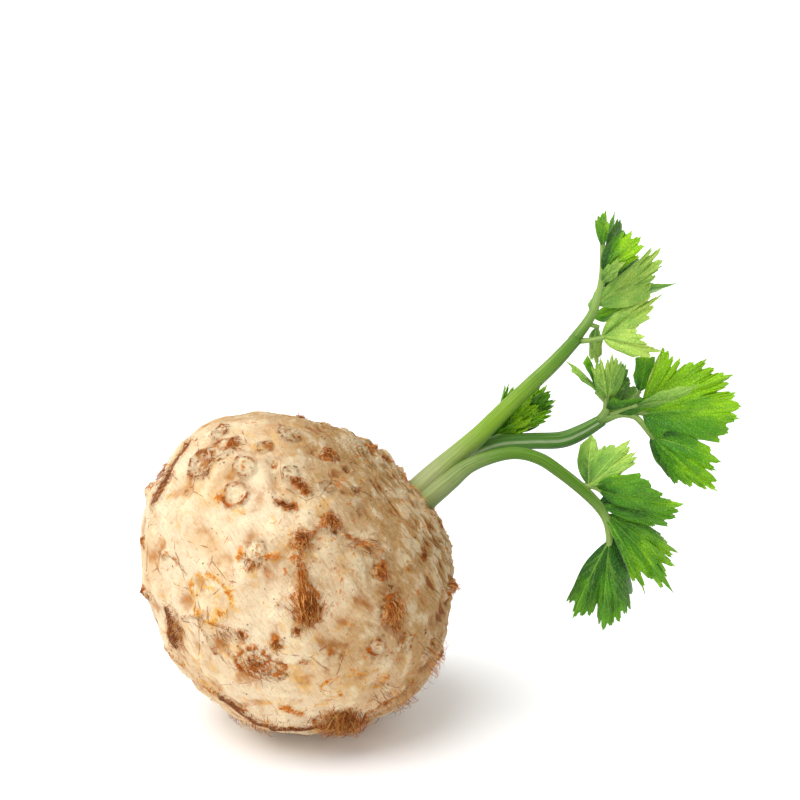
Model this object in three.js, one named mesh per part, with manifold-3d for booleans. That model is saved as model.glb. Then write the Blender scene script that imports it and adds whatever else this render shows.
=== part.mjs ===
// A celeriac as picked: a round knobbly root that rests on a small flat spot, with three leaf
// stalks and a bunch of young leaves growing from its crown. Millimetres, +Z up, the origin at
// the middle of the rest spot. A viewer stands on the -Y side and looks slightly down.

import * as THREE from 'three';
import { mergeVertices } from 'three/addons/utils/BufferGeometryUtils.js';
import Module from 'manifold-3d';

const wasm = await Module();
wasm.setup();

// Driving sizes of the root
const ROOT_DEPTH_RADIUS = 60; // half its thickness from front to back
const ROOT_MIDDLE = new THREE.Vector3(-9.5, 0, 58); // a little lower than its radius, so it sits flat
const ROOT_DETAIL = 18; // how often each edge of the starting icosahedron is split
const GATHER_SHARE = 0.38; // the root's faces draw together round its marks by this share
const GATHER_LIMIT = 0.5;
const GATHER_REACH = 1.7; // in widths of the mark
const FINEST_MARK = 3; // a mark narrower than this is lifted as if it were this wide
// Its outline as the viewer sees it, a radius every 20 degrees, anticlockwise from the right
const OUTLINE_RADII = [
  59.0, 57.9, 56.2, 58.0, 60.0, 63.6, 66.6, 63.4, 62.6,
  57.4, 54.8, 55.4, 55.5, 58.4, 60.6, 61.6, 63.0, 60.8,
];
const SWELL_HEIGHT = 0.9; // broad soft swellings all over
const SWELL_WAVES = 7;
const SWELL_COUNT = 4; // waves in a root's radius
const SWELL_COUNT_SPREAD = 5;
const CROWN = new THREE.Vector3(0.811, 0.208, 0.547).normalize(); // the way the leaves grow
const CROWN_RING_SPACING = 9; // old leaf bases leave rings round the crown
const CROWN_RING_HEIGHT = 0.6;
const CROWN_RING_REACH = 34;
const MARK_BODY_WIDTH = 0.8; // of a mark's middle and of its rim, against its size
const MARK_RIM_WIDTH = 0.4;
// Knobs, scars and pits on the sides that the list below doesn't cover
const HIDDEN_MARKS = 64;
const HIDDEN_SIZE = 2;
const HIDDEN_SIZE_SPREAD = 3.4;
const HIDDEN_PIT_SHARE = 0.25;
const HIDDEN_RIM_SHARE = 0.4;
const HIDDEN_RISE = 0.45; // against its size
const HIDDEN_SINK = -0.3;
const HIDDEN_RIM = 0.8;
const SEEN_FROM = 0.08; // how far a direction has to turn towards the viewer to be covered by the list
const CROWN_CLEARING = 0.9; // no mark lies as close to the crown's direction as this
const GAP = 0.3; // between pieces that touch

// Driving sizes of the leaves
const STEM_STEP = 6.5; // length of one ring of faces along a stem
const STEM_SIDES = 10;
const TWIG_SIDES = 6;
const TWIG_WIDTH = 3.5; // a stem no wider than this is a twig
const CHANNEL_DEPTH = 0.22; // a stalk has a channel along its upper side
const BLADE_HALF_THICKNESS = 0.4;
const BLADE_ARCH = 0.09; // rise of a blade's middle, against its length
const BLADE_PLEAT = 0.05; // lift of the notches between its teeth, against its length
const BLADE_BULGE = 0.14; // how far its sides bow outwards, against their length
const BLADE_CUT = 0.13; // depth of a notch, against its distance from the base

// Where the viewer stands, so that places can be given as they are seen
const VIEW_TILT = THREE.MathUtils.degToRad(15);
const VIEW_DISTANCE = 718;
const VIEW_ACROSS = 39.9; // the middle of the view, right of the root's middle
const VIEW_UP = 66.5; // and above it
const RIGHT = new THREE.Vector3(1, 0, 0);
const FORWARD = new THREE.Vector3(0, Math.cos(VIEW_TILT), -Math.sin(VIEW_TILT));
const UPWARD = new THREE.Vector3(0, Math.sin(VIEW_TILT), Math.cos(VIEW_TILT));
const VIEWER = ROOT_MIDDLE.clone()
  .addScaledVector(RIGHT, VIEW_ACROSS)
  .addScaledVector(UPWARD, VIEW_UP)
  .addScaledVector(FORWARD, -VIEW_DISTANCE);

// A mark on the root: where it is seen, across and up from the root's middle, where a long one
// ends, how wide it is from its middle line to its edge, how far its middle rises or sinks, and
// how far its rim rises.
const MARKS = [
  { at: [-43.7, 49.4], to: [-55.1, 30.4], size: 2.6, rise: -0.9, rim: 0.4 },
  { at: [-35.3, 41.4], size: 5.2, rise: -0.9, rim: 1.2 },
  { at: [-28.5, 46.4], size: 4.0, rise: 0.8 },
  { at: [-22.4, 48.6], size: 2.4, rise: 1.4 },
  { at: [-19.0, 40.3], size: 3.4, rise: 0.5, rim: 0.9 },
  { at: [-23.9, 30.0], size: 4.6, rise: 0.3, rim: 0.9 },
  { at: [-28.1, 52.6], size: 3.0, rise: 0.2, rim: 0.7 },
  { at: [-41.0, 30.8], size: 2.0, rise: 0.5 },
  { at: [-7.6, 47.9], to: [-7.2, 38.8], size: 2.4, rise: -2.0 },
  { at: [-6.6, 38.0], to: [-4.6, 28.5], size: 3.2, rise: -1.8, rim: 0.5 },
  { at: [-1.5, 40.0], size: 2.8, rise: 0.4, rim: 0.8 },
  { at: [3.8, 33.0], size: 2.8, rise: 1.5 },
  { at: [-1.9, 52.8], size: 3.8, rise: 0.2, rim: 0.7 },
  { at: [13.3, 46.0], size: 3.6, rise: 2.0 },
  { at: [20.5, 41.0], size: 2.4, rise: -1.2, rim: 0.6 },
  { at: [11.8, 34.2], size: 2.8, rise: 0.3, rim: 0.6 },
  { at: [23.6, 31.9], size: 2.2, rise: -0.6 },
  { at: [28.9, 48.6], size: 2.8, rise: 1.4 },
  { at: [13.7, 19.8], size: 3.6, rise: 2.4 },
  { at: [2.3, 12.9], size: 3.6, rise: 1.8 },
  { at: [1.9, 13.3], to: [13.7, 19.8], size: 2.0, rise: 1.2 },
  { at: [13.7, 19.8], to: [19.0, 15.2], size: 1.8, rise: 1.4 },
  { at: [19.0, 15.2], to: [32.3, 8.6], size: 2.0, rise: 1.3 },
  { at: [13.0, 11.5], size: 5.0, rise: 1.1 },
  { at: [-14.8, 8.7], size: 4.6, rise: 2.2 },
  { at: [-6.8, 7.2], size: 2.4, rise: 0.9 },
  { at: [-33.4, -9.1], size: 9.0, rise: 0.4, rim: 1.0 },
  { at: [-11.4, -12.5], size: 4.0, rise: -1.0 },
  { at: [2.3, 1.9], to: [8.6, -18.5], size: 4.0, rise: 2.2 },
  { at: [20.5, 11.4], to: [31.5, -17.1], size: 2.4, rise: 0.8 },
  { at: [32.3, 1.9], size: 3.2, rise: 2.0 },
  { at: [36.5, -5.3], size: 2.2, rise: 0.8 },
  { at: [37.2, -12.6], size: 4.8, rise: 2.2 },
  { at: [41.8, -25.5], size: 3.4, rise: 0.2, rim: 0.7 },
  { at: [31.2, -27.7], size: 2.8, rise: 0.2, rim: 0.7 },
  { at: [50.6, -23.4], size: 3.0, rise: 0.9 },
  { at: [58.1, -4.6], size: 3.2, rise: 2.2 },
  { at: [48.3, 8.0], size: 2.4, rise: 0.9 },
  { at: [54.7, -30.0], size: 2.4, rise: 1.4 },
  { at: [-15.6, -33.4], size: 7.0, rise: 1.6 },
  { at: [-7.2, -36.1], size: 4.2, rise: 1.1 },
  { at: [-7.6, -25.8], size: 2.6, rise: 1.6 },
  { at: [-47.1, -15.6], to: [-45.2, -26.6], size: 3.4, rise: 0.9 },
  { at: [-41.8, -15.6], to: [-34.2, -17.4], size: 2.2, rise: 1.2 },
  { at: [-34.2, -17.4], to: [-25.8, -30.0], size: 2.2, rise: 1.2 },
  { at: [13.0, -43.6], to: [33.0, -38.6], size: 3.4, rise: 0.3, rim: 0.8 },
  { at: [18.2, -54.7], size: 7.0, rise: 1.6 },
  { at: [-23.9, -47.1], to: [-8.7, -56.6], size: 2.6, rise: 1.1 },
  { at: [-56.2, -6.8], size: 2.8, rise: 1.5 },
  { at: [-58.9, 13.3], size: 2.8, rise: 1.5 },
];

// A stem: its route and its width at each point of the route, each point seen across and up from
// the root's middle, and behind it.
// A leaflet: the place of its base, and the tips of its teeth in turn. A fourth number on a tip
// is the depth of the notch after it, where that isn't the usual one.
const UPPER_STALK = {
  stems: [
    {
      route: [
        [42.5, 27.5, 9], [50.5, 34.6, 9.4], [56.5, 40.4, 9.8], [64.2, 47.5, 10.4], [73.0, 55.1, 11.2],
        [80.2, 63.8, 12], [89.3, 71.8, 13], [96.5, 79.8, 14], [107.2, 90.1, 16],
      ],
      widths: [11, 10.8, 10.0, 7.8, 6.9, 6.6, 6.2, 5.9, 4.8],
    },
    {
      route: [[105.5, 88.6, 16], [112.1, 97.7, 17], [115.1, 105.3, 18], [116.7, 112.9, 18.5],
        [117.0, 121.6, 18.5], [116.7, 131.0, 18]],
      widths: [4.6, 3.7, 3.0, 2.6, 2.3, 1.7],
    },
    { route: [[107.0, 88.9, 16], [112.1, 89.2, 15.5], [118.0, 90.4, 14.6]], widths: [2.4, 2.0, 1.8] },
    { route: [[111.0, 95.5, 17], [115.4, 94.2, 18.4]], widths: [2.0, 1.6] },
  ],
  leaflets: [
    { base: [116.0, 90.6, 14.6], tips: [[122.0, 99.5, 17, 0], [129.5, 103.6, 20, 0.05], [134.9, 106.4, 22],
      [139.8, 106.8, 24], [136.4, 101.8, 21, 0.09], [134.9, 97.3, 17], [130.3, 94.2, 14, 0.3]] },
    { base: [117.0, 90.3, 14.4], tips: [[130.3, 93.1, 11], [133.4, 90.8, 9], [134.5, 87.8, 7.5],
      [136.8, 86.3, 6.5], [139.8, 85.1, 6, 0.08], [134.9, 82.6, 7, 0.03], [128.8, 82.8, 9, 0],
      [121.6, 85.9, 12]] },
    { base: [113.6, 97.9, 17.4], tips: [[120.5, 103.7, 22, 0.02], [127.3, 104.9, 26, 0.06],
      [133.4, 106.4, 29], [130.7, 104.1, 28, 0.06], [124.3, 101.1, 25, 0.02], [118.2, 96.5, 21]] },
    { base: [115.9, 102.0, 17.8], tips: [[122.7, 113.2, 20, 0], [129.6, 118.9, 23, 0.05],
      [135.3, 124.6, 26], [139.5, 124.6, 28], [139.5, 119.7, 27, 0.06], [139.1, 117.4, 26, 0.08],
      [136.8, 113.6, 24, 0.04], [135.3, 110.2, 22, 0.04], [134.6, 106.9, 21, 0]] },
    { base: [117.2, 104.4, 19.2], tips: [[134.1, 111.0, 31, 0.02], [139.5, 110.6, 34, 0.02],
      [144.0, 110.8, 36, 0.04], [138.3, 107.9, 33, 0.04], [131.0, 106.4, 28]] },
    { base: [117.4, 114.6, 18.2], tips: [[121.6, 128.8, 15, 0.04], [125.4, 131.1, 13],
      [128.1, 130.9, 11, 0.08], [131.9, 128.8, 9, 0.06], [133.0, 125.0, 8], [131.5, 121.2, 9, 0.1],
      [127.5, 118.4, 12]] },
    { base: [117.4, 118.2, 19.4], tips: [[119.3, 134.1, 25, 0.1], [122.0, 135.3, 28, 0.06],
      [123.9, 135.3, 30, 0.08], [124.9, 130.3, 31], [126.6, 125.4, 30, 0.05], [124.0, 120.0, 26]] },
    { base: [116.9, 124.4, 18], tips: [[114.0, 135.1, 16, 0.06], [115.1, 136.6, 15, 0.05],
      [116.7, 137.9, 14, 0.04], [118.2, 138.7, 14, 0.14], [119.2, 134.0, 16]] },
    { base: [117.2, 128.2, 18.4], tips: [[119.6, 134.6, 20, 0.02], [121.0, 138.3, 22, 0.02],
      [120.9, 133.8, 23]] },
    { base: [116.9, 111.0, 18], tips: [[119.4, 118.4, 13], [122.7, 120.5, 10, 0.1],
      [125.6, 118.9, 9], [122.6, 113.8, 12]] },
    { base: [116.9, 109.4, 19], tips: [[123.3, 119.4, 29], [128.1, 120.8, 33, 0.08],
      [131.5, 121.2, 36], [130.6, 117.2, 35, 0.06], [126.5, 113.0, 30]] },
    { base: [112.5, 98.6, 18], tips: [[111.5, 103.2, 29], [114.4, 108.5, 35, 0.1],
      [115.4, 104.6, 33]] },
    { base: [115.0, 94.8, 18.2], tips: [[112.7, 87.0, 24, 0.02], [112.7, 81.9, 27, 0.1],
      [115.1, 79.4, 25, 0.08], [116.7, 83.8, 20, 0.04], [117.2, 90.0, 16]] },
  ],
};

const MIDDLE_STALK = {
  stems: [
    {
      route: [
        [46.5, 30.4, 12], [52.0, 34.6, 12.6], [59.4, 40.4, 13.4], [68.4, 46.4, 14.2], [77.9, 50.0, 15],
        [89.3, 50.9, 15.6], [100.7, 51.3, 16], [108.3, 54.0, 16], [117.0, 59.0, 16],
      ],
      widths: [6.4, 6.4, 6.3, 6.3, 6.3, 6.3, 6.4, 6.0, 4.6],
    },
    { route: [[115.6, 58.4, 16], [118.2, 62.6, 15.6], [118.6, 68.2, 15]], widths: [4.0, 3.0, 2.6] },
    {
      route: [[115.6, 58.6, 16], [122.7, 60.9, 15.8], [127.3, 60.8, 15.6], [130.8, 58.9, 15],
        [136.6, 51.6, 13.4]],
      widths: [4.2, 2.8, 2.6, 2.4, 2.2],
    },
    { route: [[121.0, 60.6, 16], [127.5, 62.0, 16.6], [134.4, 61.2, 16.4]], widths: [2.4, 2.4, 2.0] },
    { route: [[120.0, 60.4, 16], [126.0, 64.2, 17.6], [131.2, 70.0, 19]], widths: [2.4, 2.0, 1.7] },
    { route: [[120.0, 61.0, 15.6], [125.4, 63.4, 14], [130.4, 64.6, 13]], widths: [2.2, 1.8, 1.6] },
    { route: [[118.3, 65.6, 15.4], [114.4, 69.6, 14.6]], widths: [1.8, 1.6] },
  ],
  leaflets: [
    { base: [118.6, 66.4, 15], tips: [[113.6, 75.6, 12, 0.04], [112.5, 79.8, 10, 0.08],
      [114.2, 81.5, 9, 0.06], [116.1, 82.5, 8, 0.24], [118.6, 82.1, 7, 0.08], [120.5, 84.7, 6],
      [122.4, 83.2, 7, 0.06], [123.7, 82.2, 9, 0.2], [125.8, 80.7, 13, 0.06], [125.4, 77.5, 14, 0.03],
      [123.1, 71.6, 14]] },
    { base: [118.4, 66.8, 15.4], tips: [[122.9, 77.6, 24], [124.4, 80.6, 26], [126.4, 78.2, 27],
      [126.8, 74.6, 25]] },
    { base: [117.2, 66.8, 15.2], tips: [[109.9, 75.3, 13, 0], [103.4, 81.3, 11, 0.04],
      [104.5, 77.3, 10, 0.02], [108.4, 73.8, 11, 0]] },
    { base: [106.8, 76.0, 11.6], tips: [[109.2, 80.6, 12, 0], [111.4, 83.6, 13, 0.02], [110.4, 80.4, 13]] },
    { base: [131.6, 61.2, 16.6], tips: [[136.2, 72.4, 19, 0], [137.2, 78.5, 21, 0.04],
      [139.1, 85.1, 23, 0.04], [140.2, 87.0, 23, 0.05], [142.0, 85.2, 23, 0.12], [143.8, 83.2, 22, 0.12],
      [146.3, 82.5, 21, 0.14], [150.1, 81.0, 23, 0.05], [156.2, 82.1, 26, 0.1], [159.2, 78.7, 25, 0.06],
      [162.6, 77.0, 25, 0.04], [166.8, 76.2, 25, 0.08], [164.9, 72.6, 23, 0.12], [168.0, 69.5, 22, 0.1],
      [169.9, 64.2, 19, 0.1], [168.7, 59.3, 17, 0.08], [164.2, 53.6, 14, 0.05], [161.1, 50.2, 12, 0.03],
      [150.0, 51.2, 12, 0]] },
    { base: [135.6, 52.8, 13.6], tips: [[150.0, 52.6, 10, 0], [157.7, 48.6, 8, 0.04],
      [162.0, 42.9, 6, 0.1], [160.3, 39.6, 4, 0.05], [160.6, 35.8, 3, 0.06], [160.7, 31.5, 2, 0.06],
      [156.2, 32.3, 3, 0.1], [150.5, 33.2, 5, 0.12], [144.6, 34.4, 8, 0.06], [141.9, 37.4, 9, 0.02],
      [137.2, 43.3, 11, 0], [135.4, 48.4, 13]] },
    { base: [131.1, 69.2, 18.8], tips: [[128.4, 76.0, 20, 0.03], [129.2, 82.5, 23, 0.04],
      [133.0, 84.7, 25, 0.05], [136.6, 83.0, 26, 0.04], [135.3, 76.8, 24]] },
    { base: [129.0, 64.2, 13.2], tips: [[138.7, 70.0, 11, 0.01], [146.0, 71.6, 10, 0.01],
      [153.4, 72.9, 10, 0.02], [150.1, 69.3, 11, 0.02], [140.6, 65.9, 12]] },
    { base: [119.4, 62.6, 16.2], tips: [[123.6, 73.2, 21], [126.6, 74.2, 24], [129.4, 71.6, 25, 0.1],
      [131.9, 67.6, 24]] },
    { base: [119.2, 62.2, 15.2], tips: [[121.0, 67.8, 12, 0.14], [128.1, 66.9, 12],
      [135.4, 68.0, 14, 0.06], [134.4, 64.4, 14.4]] },
  ],
};

const LOWER_STALK = {
  stems: [
    {
      route: [
        [46.0, 25.4, 5], [52.0, 30.4, 4.8], [58.6, 35.8, 4.4], [66.5, 41.8, 3.6], [77.1, 45.6, 2.4],
        [85.5, 46.4, 1.4], [93.5, 44.1, 0.4], [101.1, 39.0, -0.8], [109.4, 32.3, -1.8],
        [115.9, 25.5, -2.4], [118.9, 19.0, -2.8], [119.6, 9.4, -3],
      ],
      widths: [8.4, 8.4, 7.6, 6.0, 5.2, 5.0, 5.0, 4.8, 4.6, 4.0, 3.0, 2.2],
    },
    { route: [[107.6, 34.0, -1.6], [113.4, 33.6, -1.2], [117.0, 31.6, -2]], widths: [2.4, 2.2, 1.8] },
  ],
  leaflets: [
    { base: [111.6, 34.4, -1.2], tips: [[107.5, 44.5, -3, 0], [108.6, 49.6, 1, 0], [112.9, 53.4, 6, 0.16],
      [120.0, 49.6, 4, 0.04], [127.3, 51.3, 1, 0.1], [127.7, 48.6, -2, 0.07], [129.6, 46.7, -4, 0.07],
      [130.3, 44.6, -6, 0.06], [129.6, 42.2, -7, 0.05], [124.6, 39.0, -6]] },
    { base: [114.0, 32.6, -1.6], tips: [[122.5, 38.6, -8, 0.02], [131.5, 39.5, -10, 0.05],
      [134.9, 36.9, -11, 0.04], [140.2, 31.9, -12, 0.06], [142.9, 29.3, -12, 0.05], [148.2, 27.2, -12, 0.06],
      [141.0, 25.4, -9, 0.02], [130.4, 27.2, -6]] },
    { base: [115.6, 26.4, -2.2], tips: [[126.6, 25.4, 1, 0], [134.9, 27.8, 3, 0.02], [147.0, 26.4, 4, 0.06],
      [145.9, 23.9, 3, 0.05], [144.4, 21.4, 2, 0.08], [141.4, 18.2, 0, 0.08], [136.0, 18.2, -1, 0.05],
      [130.0, 20.0, -2, 0]] },
    { base: [117.4, 23.0, -2.6], tips: [[128.0, 18.8, 3, 0], [134.9, 17.1, 5, 0.03], [137.9, 15.6, 6, 0.05],
      [141.0, 12.9, 6, 0.06], [145.5, 8.4, 5, 0.08], [143.3, 6.4, 3, 0.08], [144.4, 3.0, 1, 0.09],
      [141.7, -0.4, -1, 0.09], [143.3, -7.2, -4, 0.08], [139.1, -5.3, -4, 0.06], [135.3, -1.9, -4, 0.26],
      [133.0, -7.2, -7, 0.1], [131.1, -4.6, -7, 0.08], [128.4, -2.7, -6, 0.03], [125.4, 8.6, -4, 0]] },
    { base: [119.4, 13.0, -3], tips: [[113.6, 4.6, -1, 0], [107.2, -1.5, 2, 0.02], [103.0, -10.3, 5, 0.1],
      [105.6, -16.3, 4, 0.08], [109.1, -15.6, 2, 0.08], [112.1, -15.2, 0, 0.08], [115.5, -18.6, -3, 0.05],
      [117.0, -21.3, -5, 0.07], [120.5, -19.4, -6, 0.07], [123.5, -17.5, -7, 0.07],
      [126.2, -14.4, -6, 0.06], [127.7, -12.7, -4, 0.08], [128.4, -5.7, 0, 0.03], [125.6, 2.6, 2]] },
    { base: [114.6, 27.0, -1.4], tips: [[122.0, 35.0, 10, 0.02], [129.0, 36.0, 16], [134.0, 33.0, 20],
      [137.0, 28.5, 22], [135.0, 24.0, 20, 0.05], [126.0, 23.6, 10]] },
    { base: [119.0, 18.0, -2.6], tips: [[124.5, 9.0, 8, 0.03], [127.0, 3.0, 14], [125.0, -4.0, 18],
      [121.0, -7.0, 19], [117.0, -2.0, 16, 0.05], [117.6, 8.0, 6]] },
  ],
};

const YOUNG_LEAVES = {
  stems: [
    {
      route: [[48.0, 31.6, 16], [57.0, 38.4, 17.6], [68.0, 46.6, 19.4], [77.0, 53.4, 20.4],
        [84.6, 59.6, 20.6], [89.0, 64.6, 20.4]],
      widths: [4.2, 4.2, 4.0, 3.6, 3.0, 2.2],
    },
    { route: [[73.0, 50.8, 20], [81.0, 54.4, 18.4], [88.0, 57.6, 18]], widths: [2.6, 2.2, 1.8] },
  ],
  leaflets: [
    { base: [84.6, 59.6, 20.6], tips: [[88.6, 70.6, 22], [91.2, 72.2, 21], [93.4, 72.8, 20],
      [95.8, 72.2, 19], [97.3, 70.1, 19], [95.4, 65.0, 20]] },
    { base: [83.0, 58.4, 20.4], tips: [[94.6, 69.6, 18], [97.6, 69.2, 17], [99.6, 66.7, 16],
      [98.8, 64.6, 16], [98.2, 62.4, 16], [93.6, 59.6, 18]] },
    { base: [80.4, 55.2, 18.8], tips: [[92.0, 63.4, 16], [98.0, 63.0, 14], [97.6, 60.6, 14],
      [95.8, 58.4, 14], [92.6, 56.8, 15], [86.0, 55.4, 16]] },
    { base: [78.0, 54.4, 20], tips: [[83.0, 61.6, 17.4], [87.0, 66.6, 18.6], [90.6, 68.4, 17.4],
      [92.6, 64.6, 15], [91.0, 60.6, 15]] },
    { base: [76.4, 52.8, 19.8], tips: [[82.6, 57.4, 16.6], [86.6, 60.6, 14.8], [90.4, 60.2, 13.4],
      [92.0, 57.6, 13.6], [88.4, 55.4, 15]] },
    { base: [74.0, 51.2, 20], tips: [[79.6, 61.6, 21], [79.4, 69.4, 21], [79.8, 72.4, 20.6],
      [81.3, 73.2, 20.4], [83.0, 71.8, 20.8], [86.0, 65.4, 21.4], [83.4, 57.4, 21]] },
    { base: [82.0, 57.4, 20.6], tips: [[86.4, 68.4, 26], [90.6, 70.6, 28], [95.0, 69.4, 29],
      [97.0, 65.4, 28], [95.0, 60.4, 27]] },
    { base: [78.6, 54.4, 20.4], tips: [[85.4, 60.6, 26], [91.4, 61.6, 29], [95.0, 60.0, 30],
      [93.0, 57.0, 27]] },
  ],
};

// Colours of the lit side of each piece
const FLESH = new THREE.MeshStandardMaterial({ color: 0xd9b98a, roughness: 0.8, metalness: 0 });
const UPPER_GREEN = new THREE.MeshStandardMaterial({ color: 0x7fb03a, roughness: 0.5, metalness: 0 });
const MIDDLE_GREEN = new THREE.MeshStandardMaterial({ color: 0x6fa52a, roughness: 0.5, metalness: 0 });
const LOWER_GREEN = new THREE.MeshStandardMaterial({ color: 0x5f9a2c, roughness: 0.5, metalness: 0 });
const YOUNG_GREEN = new THREE.MeshStandardMaterial({ color: 0x3f7d2a, roughness: 0.55, metalness: 0 });

// A repeatable series of numbers from 0 to 1, from a seed
function numbersFrom(seed) {
  const factor = 1664525;
  const step = 1013904223;
  const range = 2 ** 32;
  let state = seed;
  return () => {
    state = (state * factor + step) % range;
    return state / range;
  };
}

// A point that is seen at a place across and up from the root's middle, and lies behind it
function seenPoint([across, up, behind]) {
  const flat = ROOT_MIDDLE.clone().addScaledVector(RIGHT, across).addScaledVector(UPWARD, up);
  const along = (behind - VIEWER.y) / (flat.y - VIEWER.y);
  return VIEWER.clone().lerp(flat, along);
}

// The smooth outline of the root, without its marks, in a direction from its middle
function outlineRadius(direction) {
  const across = direction.dot(RIGHT);
  const up = direction.dot(UPWARD);
  const count = OUTLINE_RADII.length;
  const turn = (Math.atan2(up, across) / (2 * Math.PI) + 1) * count;
  const first = Math.floor(turn);
  const part = turn - first;
  const [a, b, c, d] = [-1, 0, 1, 2].map((step) => OUTLINE_RADII[(first + step + count) % count]);
  const curve = 0.5 * (2 * b + (c - a) * part + (2 * a - 5 * b + 4 * c - d) * part ** 2
    + (3 * b - a - 3 * c + d) * part ** 3);
  const edgeOn = across ** 2 + up ** 2;
  return THREE.MathUtils.lerp(ROOT_DEPTH_RADIUS, curve, edgeOn);
}

// The direction from the root's middle to the spot on its front that is seen at a place
function seenDirection([across, up]) {
  const flat = ROOT_MIDDLE.clone().addScaledVector(RIGHT, across).addScaledVector(UPWARD, up);
  const ray = new THREE.Ray(VIEWER, flat.sub(VIEWER).normalize());
  const direction = ray.closestPointToPoint(ROOT_MIDDLE, new THREE.Vector3());
  direction.sub(ROOT_MIDDLE).normalize();
  const ball = new THREE.Sphere(ROOT_MIDDLE, ROOT_DEPTH_RADIUS);
  const spot = new THREE.Vector3();
  const rounds = 4;
  for (let round = 0; round < rounds; round += 1) {
    ball.radius = outlineRadius(direction);
    if (ray.intersectSphere(ball, spot)) {
      direction.copy(spot).sub(ROOT_MIDDLE).normalize();
    }
  }
  return direction;
}

// Knobs, scars and pits spread over the sides that the viewer doesn't see
function hiddenMarks() {
  const seed = 41;
  const number = numbersFrom(seed);
  const marks = [];
  while (marks.length < HIDDEN_MARKS) {
    const height = number() * 2 - 1;
    const turn = number() * 2 * Math.PI;
    const wide = Math.sqrt(1 - height ** 2);
    const direction = new THREE.Vector3(wide * Math.cos(turn), wide * Math.sin(turn), height);
    const size = HIDDEN_SIZE + HIDDEN_SIZE_SPREAD * number() ** 2;
    const kind = number();
    const towards = -direction.dot(FORWARD);
    if (towards < SEEN_FROM && direction.dot(CROWN) < CROWN_CLEARING) {
      const rise = size * (kind < HIDDEN_PIT_SHARE ? HIDDEN_SINK : HIDDEN_RISE);
      const rim = kind < HIDDEN_RIM_SHARE ? HIDDEN_RIM : 0;
      marks.push({ from: direction, end: direction, size, rise, rim });
    }
  }
  return marks;
}

const ALL_MARKS = MARKS.map(({ at, to, size, rise, rim }) => ({
  from: seenDirection(at), end: seenDirection(to ?? at), size, rise, rim: rim ?? 0,
})).concat(hiddenMarks());

// The spot of a mark's middle line that is nearest to a direction
function nearestOnMark(mark, direction) {
  return new THREE.Line3(mark.from, mark.end).closestPointToPoint(direction, true, new THREE.Vector3());
}

// How far a mark lifts the surface in a direction
function markHeight(mark, direction) {
  const millimetres = nearestOnMark(mark, direction).distanceTo(direction) * ROOT_DEPTH_RADIUS;
  const away = millimetres / Math.max(mark.size, FINEST_MARK);
  const body = mark.rise * Math.exp(-((away / MARK_BODY_WIDTH) ** 3));
  const rim = mark.rim * Math.exp(-(((away - 1) / MARK_RIM_WIDTH) ** 2));
  return body + rim;
}

// A direction drawn towards the marks near it, which gives them more faces
function gathered(direction) {
  const shift = new THREE.Vector3();
  let total = 0;
  ALL_MARKS.forEach((mark) => {
    const towards = nearestOnMark(mark, direction).sub(direction);
    const reach = GATHER_REACH * Math.max(mark.size, FINEST_MARK);
    const away = towards.length() * ROOT_DEPTH_RADIUS / reach;
    const share = GATHER_SHARE * Math.exp(-(away ** 2));
    shift.addScaledVector(towards, share);
    total += share;
  });
  return direction.clone().addScaledVector(shift, Math.min(1, GATHER_LIMIT / total)).normalize();
}

const SWELLS = (() => {
  const seed = 7;
  const number = numbersFrom(seed);
  return Array.from({ length: SWELL_WAVES }, () => ({
    way: new THREE.Vector3(number() - 0.5, number() - 0.5, number() - 0.5).normalize(),
    waves: SWELL_COUNT + SWELL_COUNT_SPREAD * number(),
    start: 2 * Math.PI * number(),
  }));
})();

// Soft swellings and the rings round the crown
function swellHeight(direction) {
  const waves = SWELLS.map(({ way, waves: count, start }) => Math.sin(count * direction.dot(way) + start));
  const swell = SWELL_HEIGHT * waves.reduce((sum, wave) => sum + wave, 0) / Math.sqrt(SWELL_WAVES);
  const reach = ROOT_DEPTH_RADIUS * direction.angleTo(CROWN);
  const fade = Math.exp(-((reach / CROWN_RING_REACH) ** 4));
  return swell + fade * CROWN_RING_HEIGHT * Math.cos(2 * Math.PI * reach / CROWN_RING_SPACING);
}

// A closed geometry as a solid that can be joined and cut
function solidOf(geometry) {
  geometry.deleteAttribute('normal');
  geometry.deleteAttribute('uv');
  const merged = mergeVertices(geometry);
  const vertProperties = new Float32Array(merged.attributes.position.array);
  const triVerts = new Uint32Array(merged.index.array);
  return new wasm.Manifold(new wasm.Mesh({ numProp: 3, vertProperties, triVerts }));
}

// The largest body of a solid, without the scraps that a cut leaves
function mainBody(solid) {
  return solid.decompose().reduce((best, body) => (body.volume() > best.volume() ? body : best));
}

// The whole root, made larger all round by a margin and cut flat where it rests
function rootSolid(margin) {
  const geometry = new THREE.IcosahedronGeometry(1, ROOT_DETAIL);
  const position = geometry.attributes.position;
  const spot = new THREE.Vector3();
  for (let index = 0; index < position.count; index += 1) {
    spot.copy(gathered(spot.fromBufferAttribute(position, index).normalize()));
    const marks = ALL_MARKS.reduce((sum, mark) => sum + markHeight(mark, spot), 0);
    const radius = outlineRadius(spot) + swellHeight(spot) + marks + margin;
    spot.multiplyScalar(radius).add(ROOT_MIDDLE);
    position.setXYZ(index, spot.x, spot.y, spot.z);
  }
  const block = 4 * ROOT_DEPTH_RADIUS;
  const floor = new THREE.BoxGeometry(block, block, block);
  floor.translate(0, 0, -block / 2);
  return solidOf(geometry).subtract(solidOf(floor));
}

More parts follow.
